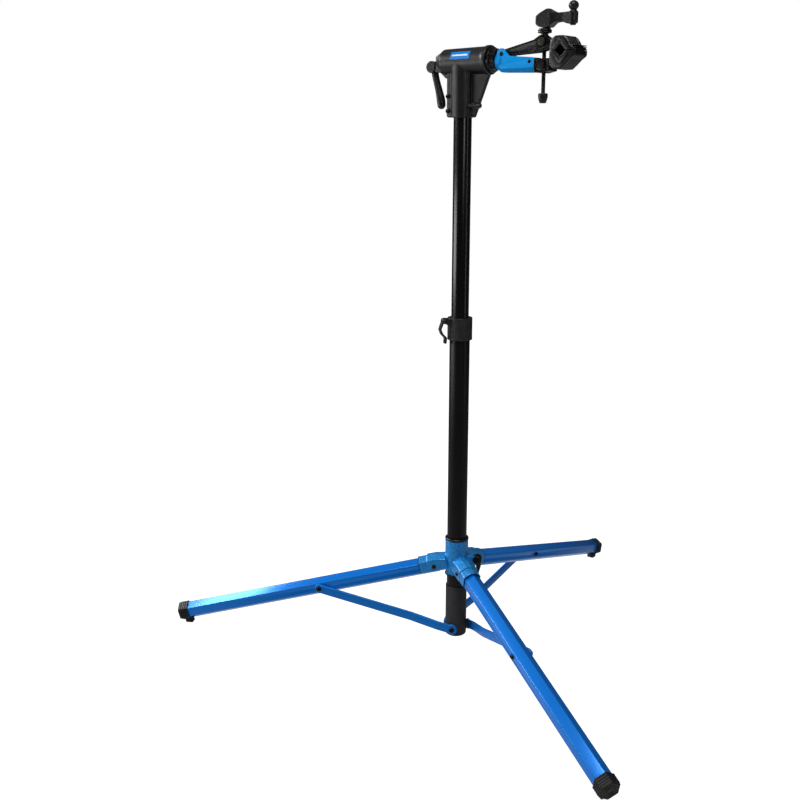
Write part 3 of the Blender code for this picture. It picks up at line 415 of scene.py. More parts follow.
# dark navy for the thin rings at the hub's channel mouths: painted shadow of the gap round each leg
PAINTED_SHADOW_BLUE = surface("painted_shadow_blue", (0.001, 0.045, 0.200), (0.001, 0.030, 0.150), 0.30, 0.08, specular=0.30,
    mottle=120.0, grain=600.0, bump=0.3)
BLUE_ARM = surface("blue_powder", (0.001, 0.245, 0.640), (0.001, 0.220, 0.590), 0.42, 0.05, specular=0.12,
    mottle=60.0, grain=1100.0, bump=0.2)
TUBE = surface("black_tube", (0.0022, 0.0021, 0.0022), (0.0018, 0.0017, 0.0018), 0.22, 0.03,
    specular=0.40, mottle=20.0, stretch=(1, 1, 0.1), grain=900.0, bump=0.06)
TUBE_LOW = surface("satin_tube", (0.0040, 0.0034, 0.0036), (0.0030, 0.0026, 0.0028), 0.36, 0.05,
    specular=0.22, mottle=20.0, stretch=(1, 1, 0.1), grain=800.0, bump=0.12)
CAST = surface("black_cast", (0.0068, 0.0070, 0.0086), (0.0040, 0.0041, 0.0052), 0.37, 0.07,
    specular=0.36, mottle=90.0, grain=620.0, bump=0.55, grain_depth=0.0005, edge=0.40)
CLAMP_BLACK = surface("clamp_black", (0.0016, 0.0015, 0.0018), (0.0010, 0.0010, 0.0012), 0.22, 0.05,
    specular=0.28, mottle=110.0, grain=700.0, bump=0.5, grain_depth=0.0004)
CRANK_BLACK = surface("crank_black", (0.0060, 0.0060, 0.0066), (0.0036, 0.0036, 0.0040), 0.34, 0.07,
    specular=0.36, mottle=110.0, grain=700.0, bump=0.5, grain_depth=0.0004, edge=0.55)
PLASTIC = surface("black_plastic", (0.0042, 0.0042, 0.0046), (0.0026, 0.0026, 0.0030), 0.35, 0.06,
    specular=0.36, mottle=80.0, grain=800.0, bump=0.4, grain_depth=0.0003)
SLEEVE = surface("sleeve_plastic", (0.0430, 0.0400, 0.0415), (0.0340, 0.0312, 0.0328), 0.58, 0.06,
    specular=0.16, mottle=60.0, grain=700.0, bump=0.35, grain_depth=0.0003)
COLLAR = surface("collar_plastic", (0.0130, 0.0132, 0.0142), (0.0080, 0.0081, 0.0090), 0.46, 0.08,
    specular=0.35, mottle=110.0, grain=480.0, bump=0.75, grain_depth=0.0006)
RUBBER = surface("rubber", (0.0026, 0.0025, 0.0025), (0.0016, 0.0015, 0.0015), 0.34, 0.07, specular=0.36,
    mottle=70.0, grain=900.0, bump=0.4, grain_depth=0.0003)
FOOT_RUBBER = surface("foot_rubber", (0.0110, 0.0105, 0.0105), (0.0070, 0.0066, 0.0066), 0.50, 0.08,
    specular=0.30, mottle=70.0, grain=900.0, bump=0.4, grain_depth=0.0003)
BLACK_STEEL = surface("black_oxide", (0.022, 0.020, 0.018), (0.012, 0.011, 0.010), 0.34, 0.08,
    metallic=0.85, mottle=150.0, grain=1200.0, bump=0.2, edge=0.4)
BRONZED = surface("bronzed_steel", (0.044, 0.036, 0.026), (0.026, 0.021, 0.015), 0.38, 0.08, metallic=0.8,
    mottle=150.0, grain=1100.0, bump=0.25, edge=0.3)
STEEL = surface("ground_steel", (0.50, 0.50, 0.49), (0.40, 0.40, 0.39), 0.28, 0.06, metallic=1.0,
    mottle=120.0, stretch=(1, 1, 8), grain=900.0, bump=0.15)
NYLON = surface("nylon", (0.36, 0.36, 0.34), (0.30, 0.30, 0.28), 0.5, 0.06, mottle=60.0, grain=700.0,
    bump=0.2)
LABEL = surface("label_film", (0.004, 0.165, 0.520), (0.003, 0.150, 0.480), 0.35, 0.04, specular=0.2,
    mottle=50.0, grain=600.0, bump=0.05)
LABEL_LINE = surface("label_line", (0.62, 0.68, 0.74), (0.56, 0.62, 0.68), 0.40, 0.04, specular=0.2,
    mottle=50.0, grain=600.0, bump=0.05)


def set_material(obj, material):
    obj.data.materials.clear()
    obj.data.materials.append(material)


def show(obj, body, material, matrix, *nodes, slot=None, angle=35.0):
    """Place a finished piece, give it its material, and let it ride on a body in place of CAD nodes."""
    obj.data.shade_smooth()
    obj.data.set_sharp_from_angle(angle=math.radians(angle))
    set_material(obj, material)
    obj.matrix_world = matrix
    bpy.context.view_layer.update()
    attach(obj, body)
    if nodes:
        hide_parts(*nodes)


# ---- fasteners ------------------------------------------------------------------------------
def socket_bolt(name, head_r, head_h, shank):
    """Button-head bolt along +Z: head seat at z = 0, socket on top, shank down to -shank."""
    dome = [(0.0, head_h * 0.98), (head_r * 0.62, head_h), (head_r * 0.86, head_h * 0.72),
            (head_r, head_h * 0.25), (head_r, 0.0), (SHANK_R, 0.0), (SHANK_R, -shank), (0.0, -shank)]
    bolt = turned(name, dome, 0.0004, 48, closed=False)
    corner = head_r * 0.52
    turns = [math.radians(60 * i) for i in range(6)]
    key = [(corner * math.cos(a), corner * math.sin(a)) for a in turns]
    return cut(bolt, slab("key", key, head_h * 0.35, head_h * 2.0, "XY"))


OUT_MINUS_Y = turn(90, "X")
OUT_PLUS_Y = turn(-90, "X")


def base_bolts(name):
    """The four fasteners of one side of the folding base."""
    inner = HALF_FLATS + GAP
    reach = inner + HUB_WALL + GAP
    base_face = inner + STRUT_JOG + STRUT_THICK + GAP
    pivot = socket_bolt(f"leg_pivot_bolt_{name}_v", 0.0052, 0.0032, 2 * reach + 0.003)
    tail = [(0.0, 0.0), (0.0049, 0.0), (0.0052, -0.0004), (0.0052, -0.0024), (0.0, -0.0026)]
    join(pivot, at(turned("tail", tail, 0.0003, 48, closed=False), move(0.0, 0.0, -2 * reach)))
    show(at(pivot, OUT_MINUS_Y @ move(0, 0, reach)), "hub", BLACK_STEEL, leg_frame(name),
         f"leg_pivot_bolt_{name}")
    through = socket_bolt(f"leg_strut_bolt_{name}_v", 0.0055, 0.0034, 2 * inner - 0.0006)
    show(at(through, OUT_MINUS_Y @ move(0, 0, inner)), f"leg_{name}", BLACK_STEEL,
         leg_frame(name) @ move(STRUT_AT, 0, 0), f"leg_strut_bolt_{name}")
    nut = socket_bolt(f"strut_nut_{name}_v", 0.0060, 0.0034, 0.0060)
    show(at(nut, OUT_PLUS_Y @ move(0, 0, inner + 0.0063)), f"strut_{name}", BLACK_STEEL,
         strut_frame(name) @ move(STRUT_LENGTH, 0, 0), f"strut_nut_{name}")
    base = socket_bolt(f"strut_base_bolt_{name}_v", 0.0064, 0.0032, base_face - 0.0147)
    show(at(base, OUT_PLUS_Y @ move(0, 0, base_face)), "post", BLACK_STEEL, strut_frame(name),
         f"strut_base_bolt_{name}")


def bolts():
    for name in NAMES:
        base_bolts(name)
    cross_bolts = (("pinch_bolt_upper", "mast", PINCH[0], 0.0048, 0.0046, 0.0232, 0.0108),
                   ("pinch_bolt_lower", "mast", PINCH[1], 0.0048, 0.0046, 0.0232, 0.0108),
                   ("jaw_pivot_bolt", "clamp", JAW_PIVOT, 0.0042, 0.0014, 0.0291, 0.0148),
                   ("jaw_fixing_bolt", "clamp", JAW_FIXING, 0.0034, 0.0014, 0.0291, 0.0148))
    for node, body, (x, z), head_r, head_h, shank, seat in cross_bolts:
        bolt = socket_bolt(f"{node}_v", head_r, head_h, shank)
        show(at(bolt, OUT_MINUS_Y @ move(0, 0, seat)), body, BLACK_STEEL, HEAD @ move(x, 0, z), node)


# ---- post -----------------------------------------------------------------------------------
def tube(name, r, low, high):
    wall = [(r, high), (r, low), (r - TUBE_WALL, low), (r - TUBE_WALL, high)]
    return turned(name, wall, 0.0005)


def post():
    low, high = tube_low[2], tube_high[2]
    show(tube("lower_tube_v", LOWER_R, low, high), "post", TUBE_LOW, POST, "lower_tube")
    sleeve = turned("base_sleeve_v", [
        (LOWER_R + GAP, 0.1420), (0.0243, 0.1420), (0.0243, 0.1408), (0.02405, 0.1400), (0.0243, 0.1392),
        (0.0243, 0.0240), (0.0236, 0.0212), (0.0215, 0.0194), (0.0193, 0.0190), (0.0, 0.0190), (0.0, 0.05415),
        (LOWER_R + GAP, 0.05415)], 0.0006)
    face = HALF_FLATS + GAP + STRUT_JOG - GAP
    profile = [(0.0, face), (0.0100, face), (0.0108, 0.018), (0.0108, 0.004), (0.0, 0.004)]
    for name in NAMES:
        boss = turned("boss", profile, 0.0006, 48, "Y", False)
        join(sleeve, at(boss, turn(AZIMUTHS[name], "Z") @ move(STRUT_BASE_R, 0, STRUT_BASE_Z)))
    show(sleeve, "post", SLEEVE, POST, "base_sleeve")
    collar()


def ribbed_ring(name, radius, depth, ribs, low, high, edge=0.0010):
    """Upright ribbed drum: its wall follows a shallow wave."""
    def outline(r):
        points = []
        for k in range(ribs * 6):
            a = 2 * math.pi * k / (ribs * 6)
            wave = 0.5 + 0.5 * math.cos(2 * math.pi * k / 6)
            points.append(((r - depth * wave ** 2) * math.cos(a), (r - depth * wave ** 2) * math.sin(a)))
        return points
    narrow, between, full = outline(radius - edge), outline(radius - edge * 0.3), outline(radius)
    layers = [(narrow, low), (between, low + edge * 0.3), (full, low + edge),
              (full, high - edge), (between, high - edge * 0.3), (narrow, high)]
    return loft(name, layers, "XY")


def collar():
    pivot = (0.0368, 0.7625)
    body = ribbed_ring("height_collar_v", 0.0272, 0.0004, 44, 0.7200, 0.7640)
    lip = turned("lip", [(0.0, 0.7685), (0.0268, 0.7685), (0.0272, 0.7676), (0.0272, 0.7630), (0.0, 0.7630)],
                 0.0005, closed=False)
    skirt = rod("skirt", 0.0274, 0.7202, 0.7232, steps=96, radius=0.0006)
    join(body, lip, skirt)
    ear = [(0.0240, 0.7677), (0.0240, 0.7500)] + arc(pivot, 0.0054, -55, 90, 12)
    for low, high in ((0.0061, 0.0095), (-0.0095, -0.0061)):
        join(body, spoked(soften(slab("ear", ear, low, high), 0.0006, 2), COLLAR_LEVER_SIDE))
    wide, narrow, step = LOWER_R + GAP, UPPER_R + 0.0007, 0.7558
    cut(body, turned("bore", [(wide, step), (wide, 0.71), (0.0, 0.71), (0.0, 0.80), (narrow, 0.80),
                              (narrow, step)], 0.0))
    cut(body, spoked(block("window", (0.015, -0.0053, 0.7580), (0.032, 0.0053, 0.7660)), COLLAR_LEVER_SIDE))
    show(body, "post", COLLAR, POST, "height_collar", angle=30.0)
    blade = [(0.0030, -0.0050), (0.0085, -0.0180), (0.0046, -0.0270), (-0.0045, -0.0360), (-0.0047, -0.0430),
             (-0.0034, -0.0498), (0.0006, -0.0500), (0.0005, -0.0436), (0.0000, -0.0380), (0.0090, -0.0282),
             (0.0128, -0.0180), (0.0072, -0.0010)]
    arm = soften(slab("arm", rounded(blade, 0.0035, 5), -0.0052, 0.0052), 0.0010, 3)
    lever = rod("collar_lever_v", 0.0065, -0.0057, 0.0057, "Y", 48, 0.0008)
    join(lever, arm)
    cut(lever, rod("hole", PIN_HOLE, -0.02, 0.02, "Y", 32))
    where = side_frame(COLLAR_LEVER_SIDE) @ move(pivot[0], 0, pivot[1])
    show(lever, "collar_lever", PLASTIC, where, "collar_lever")


# ---- sliding hub ----------------------------------------------------------------------------
def crowned(side, shoulder, bottom, crown, radius=0.0012):
    """Channel outline whose ridge is cut to a narrow flat, its corners rounded."""
    top = shoulder + (side - crown) * math.tan(math.pi / 6)
    return rounded([(-side, bottom), (side, bottom), (side, shoulder), (crown, top), (-crown, top),
                    (-side, shoulder)], radius, 3)


def leg_room(start, end):
    return slab("room", crowned(HALF_FLATS + GAP, HUB_ROOF, -0.0300, 0.0040), start, end, "YZ")


def hub():
    inside = HALF_FLATS + GAP
    top = HUB_ROOF + HUB_WALL / math.cos(math.pi / 6) - HUB_WALL * math.tan(math.pi / 6)
    near = crowned(inside + 0.0032, top + 0.0018, -0.0120, 0.0055, 0.0016)
    back = crowned(inside + 0.0032, top - 0.0020, -0.0120, 0.0055, 0.0016)
    far = crowned(inside + 0.0016, HUB_ROOF + 0.0010, -0.0116, 0.0050)
    mouth = crowned(inside + 0.0017, HUB_ROOF + 0.0011, -0.0117, 0.0050)
    body = rod("leg_hub_v", 0.0263, 0.1720, 0.2540, steps=96)
    shadow_rims = []
    for name in NAMES:
        axis = leg_axis(name)
        join(body, at(loft("shell", [(back, -0.0300), (near, -0.0080), (near, 0.0130)], "YZ"), axis))
        join(body, at(slab("rim", far, 0.0110, 0.0350, "YZ"), axis))
        # thin ring round the channel's mouth, dark navy: painted shadow in the gap between channel and leg
        ring = at(slab("mouth", mouth, 0.0338, 0.0353, "YZ"), axis)
        shadow_rims.append(cut(ring, at(leg_room(0.03, 0.04), axis)))
    join(body, spoked(block("boss", (0.0180, -0.0095, 0.1975), (0.0375, 0.0095, 0.2145)), HUB_LEVER_SIDE))
    cast(body, 0.0008, 4)
    tongue = [(0.0330, 0.2120), (0.0330, 0.2000)] + arc(HUB_LEVER, 0.0060, -90, 90, 16)
    join(body, spoked(soften(slab("tongue", tongue, -0.0042, 0.0042), 0.0008, 2), HUB_LEVER_SIDE))
    cut(body, rod("bore", 0.0239, 0.10, 0.30, steps=96))
    for name in NAMES:
        cut(body, at(leg_room(-0.0222, 0.0500), leg_axis(name)))
        cut(body, at(rod("hole", BOLT_HOLE, -0.03, 0.03, "Y", 32), leg_axis(name)))
    show(body, "hub", BLUE_CAST, POST, "leg_hub", angle=50.0)
    # the mouth rings get the dark navy: painted shadow round each leg
    show(join(*shadow_rims), "hub", PAINTED_SHADOW_BLUE, POST, slot="leg_hub")
    wide, narrow, step = LOWER_R + GAP, 0.0236, 0.2543
    ring = [(wide, 0.2595), (0.0258, 0.2595), (0.0269, 0.2583), (0.0269, step), (narrow, step),
            (narrow, 0.2360), (wide, 0.2360)]
    show(turned("hub_bushing_top_v", ring, 0.0005), "hub", PLASTIC, POST, "hub_bushing_top")
    cam = rod("hub_lever_v", 0.0100, -0.0095, 0.0095, "Y", 64, 0.0014)
    tail = [(-0.0030, 0.0), (-0.0022, -0.0160), (-0.0014, -0.0310), (0.0040, -0.0315), (0.0082, -0.0160),
            (0.0090, 0.0)]
    join(cam, soften(slab("tail", rounded(tail, 0.0020, 5), -0.0088, 0.0088), 0.0018, 4))
    cut(cam, block("fork", (-0.0200, -0.0045, -0.0066), (0.0069, 0.0045, 0.0200)))
    cut(cam, rod("hole", PIN_HOLE, -0.02, 0.02, "Y", 32))
    where = side_frame(HUB_LEVER_SIDE) @ move(HUB_LEVER[0], 0, HUB_LEVER[1])
    show(cam, "hub_lever", PLASTIC, where, "hub_lever")


# ---- legs and struts ------------------------------------------------------------------------
def leg(name):
    body = slab(f"leg_{name}_v", hexagon(HALF_FLATS, 0.0022, 5), LEG_START, LEG_END, "YZ")
    cut(body, slab("hollow", hexagon(HALF_FLATS - LEG_WALL, 0.0012, 5), -0.02, 0.70, "YZ"))
    drill(body, (0.0, 0.0), (STRUT_AT, 0.0))
    show(soften(body, 0.0004, 2, 60.0), f"leg_{name}", BLUE, leg_frame(name), f"leg_{name}")


def foot(name):
    """Ribbed cap with stepped end face and a floor pad."""
    full, low = hexagon(0.0208, 0.0030), hexagon(0.0199, 0.0030)
    layers = []
    for k in range(4):
        x = FOOT_START + k * 0.0052
        layers += [(low if k else full, x), (full, x + 0.0006), (full, x + 0.0028), (low, x + 0.0034)]
    layers += [(low, 0.6434), (hexagon(0.0193, 0.0030), 0.6446), (hexagon(0.0186, 0.0030), 0.6450)]
    cap = loft(f"foot_{name}_v", layers, "YZ")
    for size in (0.0176, 0.0128, 0.0080):
        step = slab("step", hexagon(size, 0.0020), LEG_END, 0.6459, "YZ")
        cut(step, slab("hollow", hexagon(size - 0.0022, 0.0015), 0.6420, 0.6470, "YZ"))
        join(cap, soften(step, 0.0004, 2))
    pad = block("pad", (0.6220, -0.0090, -0.0330), (0.6380, 0.0090, -0.0120))
    join(cap, soften(pad, 0.0010, 2))
    cut(cap, slab("room", hexagon(HALF_FLATS + GAP, 0.0020), 0.60, 0.6433, "YZ"))
    level = move(PAD_ALONG, 0, -PAD_DROP) @ turn(-LEG_SLOPE, "Y")
    cut(cap, at(block("floor", (-0.05, -0.05, -0.05), (0.05, 0.05, 0.0)), level))
    show(at(cap, leg_frame(name)), f"leg_{name}", FOOT_RUBBER, Matrix(), f"foot_{name}", angle=30.0)


def strut(name):
    """Flat bar with a jog, from the sleeve's boss to the leg's side."""
    inner = HALF_FLATS + GAP
    outer = inner + STRUT_JOG
    end = STRUT_LENGTH + 0.02
    plan = [(-0.020, outer), (0.034, outer), (0.100, inner), (end, inner), (end, inner + STRUT_THICK),
            (0.100, inner + STRUT_THICK), (0.034, outer + STRUT_THICK), (-0.020, outer + STRUT_THICK)]
    bar = slab(f"strut_{name}_v", rounded(plan, 0.060, 8, least=3.0), -0.020, 0.020, "XY")
    half, eye = 0.0102, 0.0122
    meet = math.degrees(math.asin(half / eye))
    outline = arc((STRUT_LENGTH, 0.0), half, -90, 90, 24) + [(0.0300, half)]
    outline += arc((0.0, 0.0), eye, meet, 360 - meet, 40) + [(0.0300, -half)]
    common(bar, slab("face", rounded(outline, 0.010, 4, least=8.0), 0.010, 0.040))
    soften(bar, 0.0016, 4, 50.0)
    for along in (0.0, STRUT_LENGTH):
        cut(bar, at(rod("hole", BOLT_HOLE, 0.0, 0.05, "Y", 32), move(along, 0, 0)))
    show(bar, f"strut_{name}", BLUE_STRUT, strut_frame(name), f"strut_{name}")


# ---- mast and head --------------------------------------------------------------------------
def mast():
    low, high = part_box("upper_tube")
    show(tube("upper_tube_v", UPPER_R, low[2], high[2]), "mast", TUBE, POST, "upper_tube")
    casting = turned("head_casting_v", [
        (0.0, 0.0700), (0.0278, 0.0700), (0.0290, 0.0688), (0.0290, 0.0612), (0.0278, 0.0600),
        (0.0270, 0.0590), (BARREL_R, -0.0440), (0.0125, -0.0625), (0.0, -0.0625)], 0.0020, 96, "X", False)
    socket = rod("socket", BARREL_R, -0.1120, -0.0010, steps=96)
    ear = soften(block("ear", (-0.0365, -0.0105, -0.1117), (-0.0150, 0.0105, -0.0215)), 0.0045, 4)
    web = slab("gusset", [(0.0150, -0.1114), (0.0312, -0.1114), (0.0655, -0.0310), (0.0655, -0.0150),
                          (0.0150, -0.0150)], -0.0045, 0.0045)
    rear = slab("rear", [(-0.0300, -0.0330), (-0.0415, -0.0330), (-0.0560, -0.0205), (-0.0600, -0.0100),
                         (-0.0300, -0.0100)], -0.0060, 0.0060)
    tip = arc(HEAD_LEVER, 0.0088, 90, 270, 20) + [(-0.0560, -0.0170), (-0.0560, 0.0040)]
    tongue = slab("tongue", tip, -0.0048, 0.0048)
    shoulder = slab("shoulder", [(-0.0630, -0.0205), (-0.0630, 0.0112), (-0.0560, 0.0150), (-0.0470, 0.0192),
                                 (-0.0300, 0.0195), (-0.0300, -0.0205)], -0.0122, 0.0122)
    bead = at(rod("bead", 0.0024, -0.0980, -0.0240, steps=24), move(0.0225, -0.0106, 0))
    boss = at(rod("boss", 0.0055, -0.0080, 0.0070, "Y", 48), move(THUMB[0], 0, THUMB[1]))
    pads = [at(rod("seat", 0.0062, -0.0108, 0.0108, "Y", 40), move(x, 0, z)) for x, z in PINCH]
    join(casting, socket, ear, web, rear, tongue, shoulder, bead, boss, *pads)
    cast(casting, 0.0010, 5)
    cut(casting, rod("tube_bore", UPPER_R + GAP, -0.20, -0.0387, steps=96, radius=0.0))
    cut(casting, rod("spindle_bore", 0.0145, -0.0520, 0.0750, "X", 96, radius=0.0))
    cut(casting, block("slot", (-0.0400, -0.00125, -0.13), (-0.0150, 0.00125, -0.0345)))
    drill(casting, *PINCH, HEAD_LEVER, THUMB)
    show(casting, "mast", CAST, HEAD, "head_casting", angle=50.0)
    label()


def patch(name, x0, x1, a0, a1, lift):
    """Thin plate wrapped on the barrel's taper, between two lengths and two angles."""
    turns = [math.radians(a0 + (a1 - a0) * k / 12) for k in range(13)]
    layers = []
    for x in (x0, x1):
        r = BARREL_R + 0.0016 * (x + 0.0440) / 0.1030
        points = [(-(r + lift) * math.cos(a), (r + lift) * math.sin(a)) for a in turns]
        points += [(-(r - 0.0006) * math.cos(a), (r - 0.0006) * math.sin(a)) for a in reversed(turns)]
        layers.append((points, x))
    return loft(name, layers, "YZ")


def label():
    """Plain blank plate with one pale line across it."""
    plate = patch("label_v", -0.0160, 0.0318, 6.0, 42.0, 0.0004)
    show(plate, "mast", LABEL, HEAD, slot="head_casting")
    line = patch("label_line_v", -0.0115, 0.0270, 20.0, 27.0, 0.0007)
    show(line, "mast", LABEL_LINE, HEAD, slot="head_casting")


def head_lever():
    cam = rod("head_lever_v", 0.0122, -0.0130, 0.0130, "Y", 64, 0.0018)
    grip = pipe("grip", [(0.0010, 0, -0.0020, 0.0066), (0.0030, 0, -0.0130, 0.0074),
                         (0.0070, 0, -0.0280, 0.0072), (0.0135, 0, -0.0480, 0.0078),
                         (0.0185, 0, -0.0660, 0.0090), (0.0202, 0, -0.0768, 0.0088)])
    join(cam, grip)
    cast(cam, 0.0008, 5)
    cut(cam, block("slot", (-0.0093, -0.0051, -0.0093), (0.0250, 0.0051, 0.0200)))
    drill(cam, (0.0, 0.0))
    where = HEAD @ move(HEAD_LEVER[0], 0, HEAD_LEVER[1])
    show(cam, "head_lever", PLASTIC, where, "head_lever", angle=50.0)


def thumb_screw():
    screw = turned("head_thumb_screw_v", [
        (0.0, 0.0085), (SHANK_R, 0.0085), (SHANK_R, -0.0084), (0.0045, -0.0084), (0.0045, -0.0190),
        (SHANK_R, -0.0194), (SHANK_R, -0.0260), (0.0, -0.0262)], 0.0004, 48, "Y", False)
    bar = rod("bar", 0.0021, -0.0066, 0.0210, "X", 32)
    for x in (-0.0056, 0.0200):
        ball = lathe("ball", arc((0.0, 0.0), 0.0029, 90, -90, 16), 32, "X", False)
        join(bar, at(ball, move(x, 0, 0)))
    join(screw, at(bar, move(0.0, -0.0225, 0.0)))
    where = HEAD @ move(THUMB[0], 0, THUMB[1])
    show(screw, "thumb_screw", BLACK_STEEL, where, "head_thumb_screw")


# ---- clamp ----------------------------------------------------------------------------------
def rotor():
    ring = turned("rotor_v", [
        (0.0103, 0.0872), (0.0190, 0.0872), (0.0212, 0.0858), (0.0212, 0.0776), (0.0240, 0.0760),
        (0.0250, 0.0750), (0.0250, 0.0715), (0.0240, 0.0705), (0.0103, 0.0705)], 0.0006, 96, "X")
    for k in range(12):
        notch = soften(block("notch", (0.0768, -0.0016, 0.0200), (0.0880, 0.0016, 0.0300)), 0.0007, 2)
        cut(ring, at(notch, turn(30 * k + 15, "X")))
    show(ring, "clamp", CLAMP_BLACK, HEAD, "rotor")


def jaw_arm():
    outline = [(0.0965, -0.0230), (0.0995, -0.0255), (0.1030, -0.0258), (0.1780, -0.0284), (0.1780, 0.0000),
               (0.1205, 0.0050), (0.1150, 0.0105)]
    outline += arc(JAW_PIVOT, 0.0105, 25, 175, 20) + [(0.0900, 0.0040), (0.0965, -0.0030)]
    arm = slab("jaw_arm_v", rounded(outline, 0.0040, 5, least=15.0), -0.0145, 0.0145)
    back = rod("back", 0.0168, 0.0875, 0.1000, "X", 64, 0.0012)
    join(arm, at(back, move(0, 0, -0.0040)))
    for side in (1, -1):
        edge = block("edge", (0.080, -0.006, -0.006), (0.190, 0.006, 0.006))
        cut(arm, at(edge, move(0, side * 0.0145, -0.0272) @ turn(45, "X")))
    cut(arm, block("channel", (0.0922, -0.0110, -0.0205), (0.1790, 0.0110, 0.0300)))
    cut(arm, rod("bore", 0.0103, 0.08, 0.093, "X", 64))
    soften(arm, 0.0008, 3, 40.0)
    drill(arm, JAW_PIVOT, JAW_FIXING)
    show(arm, "clamp", BLUE_ARM, HEAD, "jaw_arm", angle=28.0)


def lower_jaw():
    outline = [(0.1520, -0.0200), (0.1783, -0.0200), (0.1783, -0.0288), (0.1960, -0.0300), (0.2140, -0.0262),
               (0.2140, -0.0160), (0.2480, -0.0160), (0.2480, -0.0080), (0.2140, -0.0080), (0.2120, -0.0030),
               (0.1783, -0.0030), (0.1783, -0.0010), (0.1520, -0.0010)]
    jaw = slab("lower_jaw_v", outline, -0.0145, 0.0145)
    for low, high in ((0.0107, 0.0200), (-0.0200, -0.0107)):
        cut(jaw, block("cheek", (0.1500, low, -0.0350), (0.1783, high, 0.0100)))
    cut(jaw, block("slot", (NUT[0] - 0.0080, -0.0048, -0.0400), (NUT[0] + 0.0080, 0.0048, 0.0100)))
    panel = rounded([(0.1815, -0.0262), (0.1960, -0.0272), (0.2100, -0.0240), (0.2095, -0.0060),
                     (0.1815, -0.0060)], 0.0025, 4)
    for low, high in ((-0.0200, -0.0130), (0.0130, 0.0200)):
        rim = slab("panel", panel, low, high)
        cut(rim, at(rod("keep", 0.0102, -0.03, 0.03, "Y", 48), move(NUT[0], 0, NUT[1])))
        cut(jaw, rim)
    soften(jaw, 0.0007, 3, 40.0)
    cut(jaw, at(rod("bore", 0.0081, -0.03, 0.03, "Y", 64), move(NUT[0], 0, NUT[1])))
    drill(jaw, JAW_FIXING)
    show(jaw, "clamp", CLAMP_BLACK, HEAD, "lower_jaw")


def upper_jaw():
    px, pz = JAW_PIVOT
    outline = arc((0.0, 0.0), 0.0085, 70, 250, 20)
    outline += [(x - px, z - pz) for x, z in (
        (0.1200, 0.0062), (0.1818, 0.0090), (0.2010, 0.0130), (0.2120, 0.0135), (0.2140, 0.0200),
        (0.2540, 0.0200), (0.2540, 0.0270), (0.2140, 0.0270), (0.2070, 0.0330), (0.1950, 0.0408),
        (0.1880, 0.0408), (0.1735, 0.0325))]
    jaw = slab("upper_jaw_v", rounded(outline, 0.0020, 4), -0.0105, 0.0105)
    where = move(TRUNNION[0] - px, 0.0, TRUNNION[1] - pz)
    cut(jaw, at(block("slot", (-0.0100, -0.0085, -0.0300), (0.0125, 0.0085, 0.0200)), where))
    panel = rounded([(x - px, z - pz) for x, z in (
        (0.1150, 0.0080), (0.1790, 0.0110), (0.1790, 0.0300), (0.1700, 0.0285), (0.1150, 0.0150))], 0.0020, 4)
    for low, high in ((-0.0200, -0.0092), (0.0092, 0.0200)):
        cut(jaw, slab("panel", panel, low, high))
    soften(jaw, 0.0013, 3, 40.0)
    cut(jaw, at(rod("bore", 0.0081, -0.03, 0.03, "Y", 64), where))
    drill(jaw, (0.0, 0.0))
    show(jaw, "upper_jaw", CLAMP_BLACK, HEAD @ move(px, 0, pz), "upper_jaw")


NOTCH, NOTCH_X, NOTCH_Z = 0.0118, 0.2425, 0.0095
UPPER_COVER = ((0.2744, 0.0), (0.2722, 0.0035), (0.2625, 0.0095), (0.2592, 0.0160), (0.2543, 0.0222),
               (0.2480, 0.0268), (0.2290, 0.0268), (0.2190, 0.0200), (0.2170, 0.0))
LOWER_COVER = ((0.2744, 0.0), (0.2744, 0.0095), (0.2640, 0.0165), (0.2560, 0.0240), (0.2445, 0.0335),
               (0.2250, 0.0335), (0.2170, 0.0250), (0.2170, 0.0))


def cover_outline(upper, split, up, shrink):
    """Side view of a cover drawn in by shrink, with the clamping notch in its flat edge."""
    points = UPPER_COVER if upper else LOWER_COVER
    middle = Vector((0.2440, 0.0120 if upper else 0.0150))
    ring = []
    for i, (x, z) in enumerate(points):
        spot = Vector((x, z))
        if shrink and 0 < i < len(points) - 1:
            away = spot - middle
            spot -= away.normalized() * shrink
        elif shrink:
            spot.x += shrink if x < 0.24 else -shrink
        ring.append((spot.x, split + up * spot.y))
    ring = rounded(ring, 0.0070, 4, closed=False, least=-1.0)
    return ring + [(NOTCH_X - NOTCH, split), (NOTCH_X, split + up * NOTCH), (NOTCH_X + NOTCH, split)]


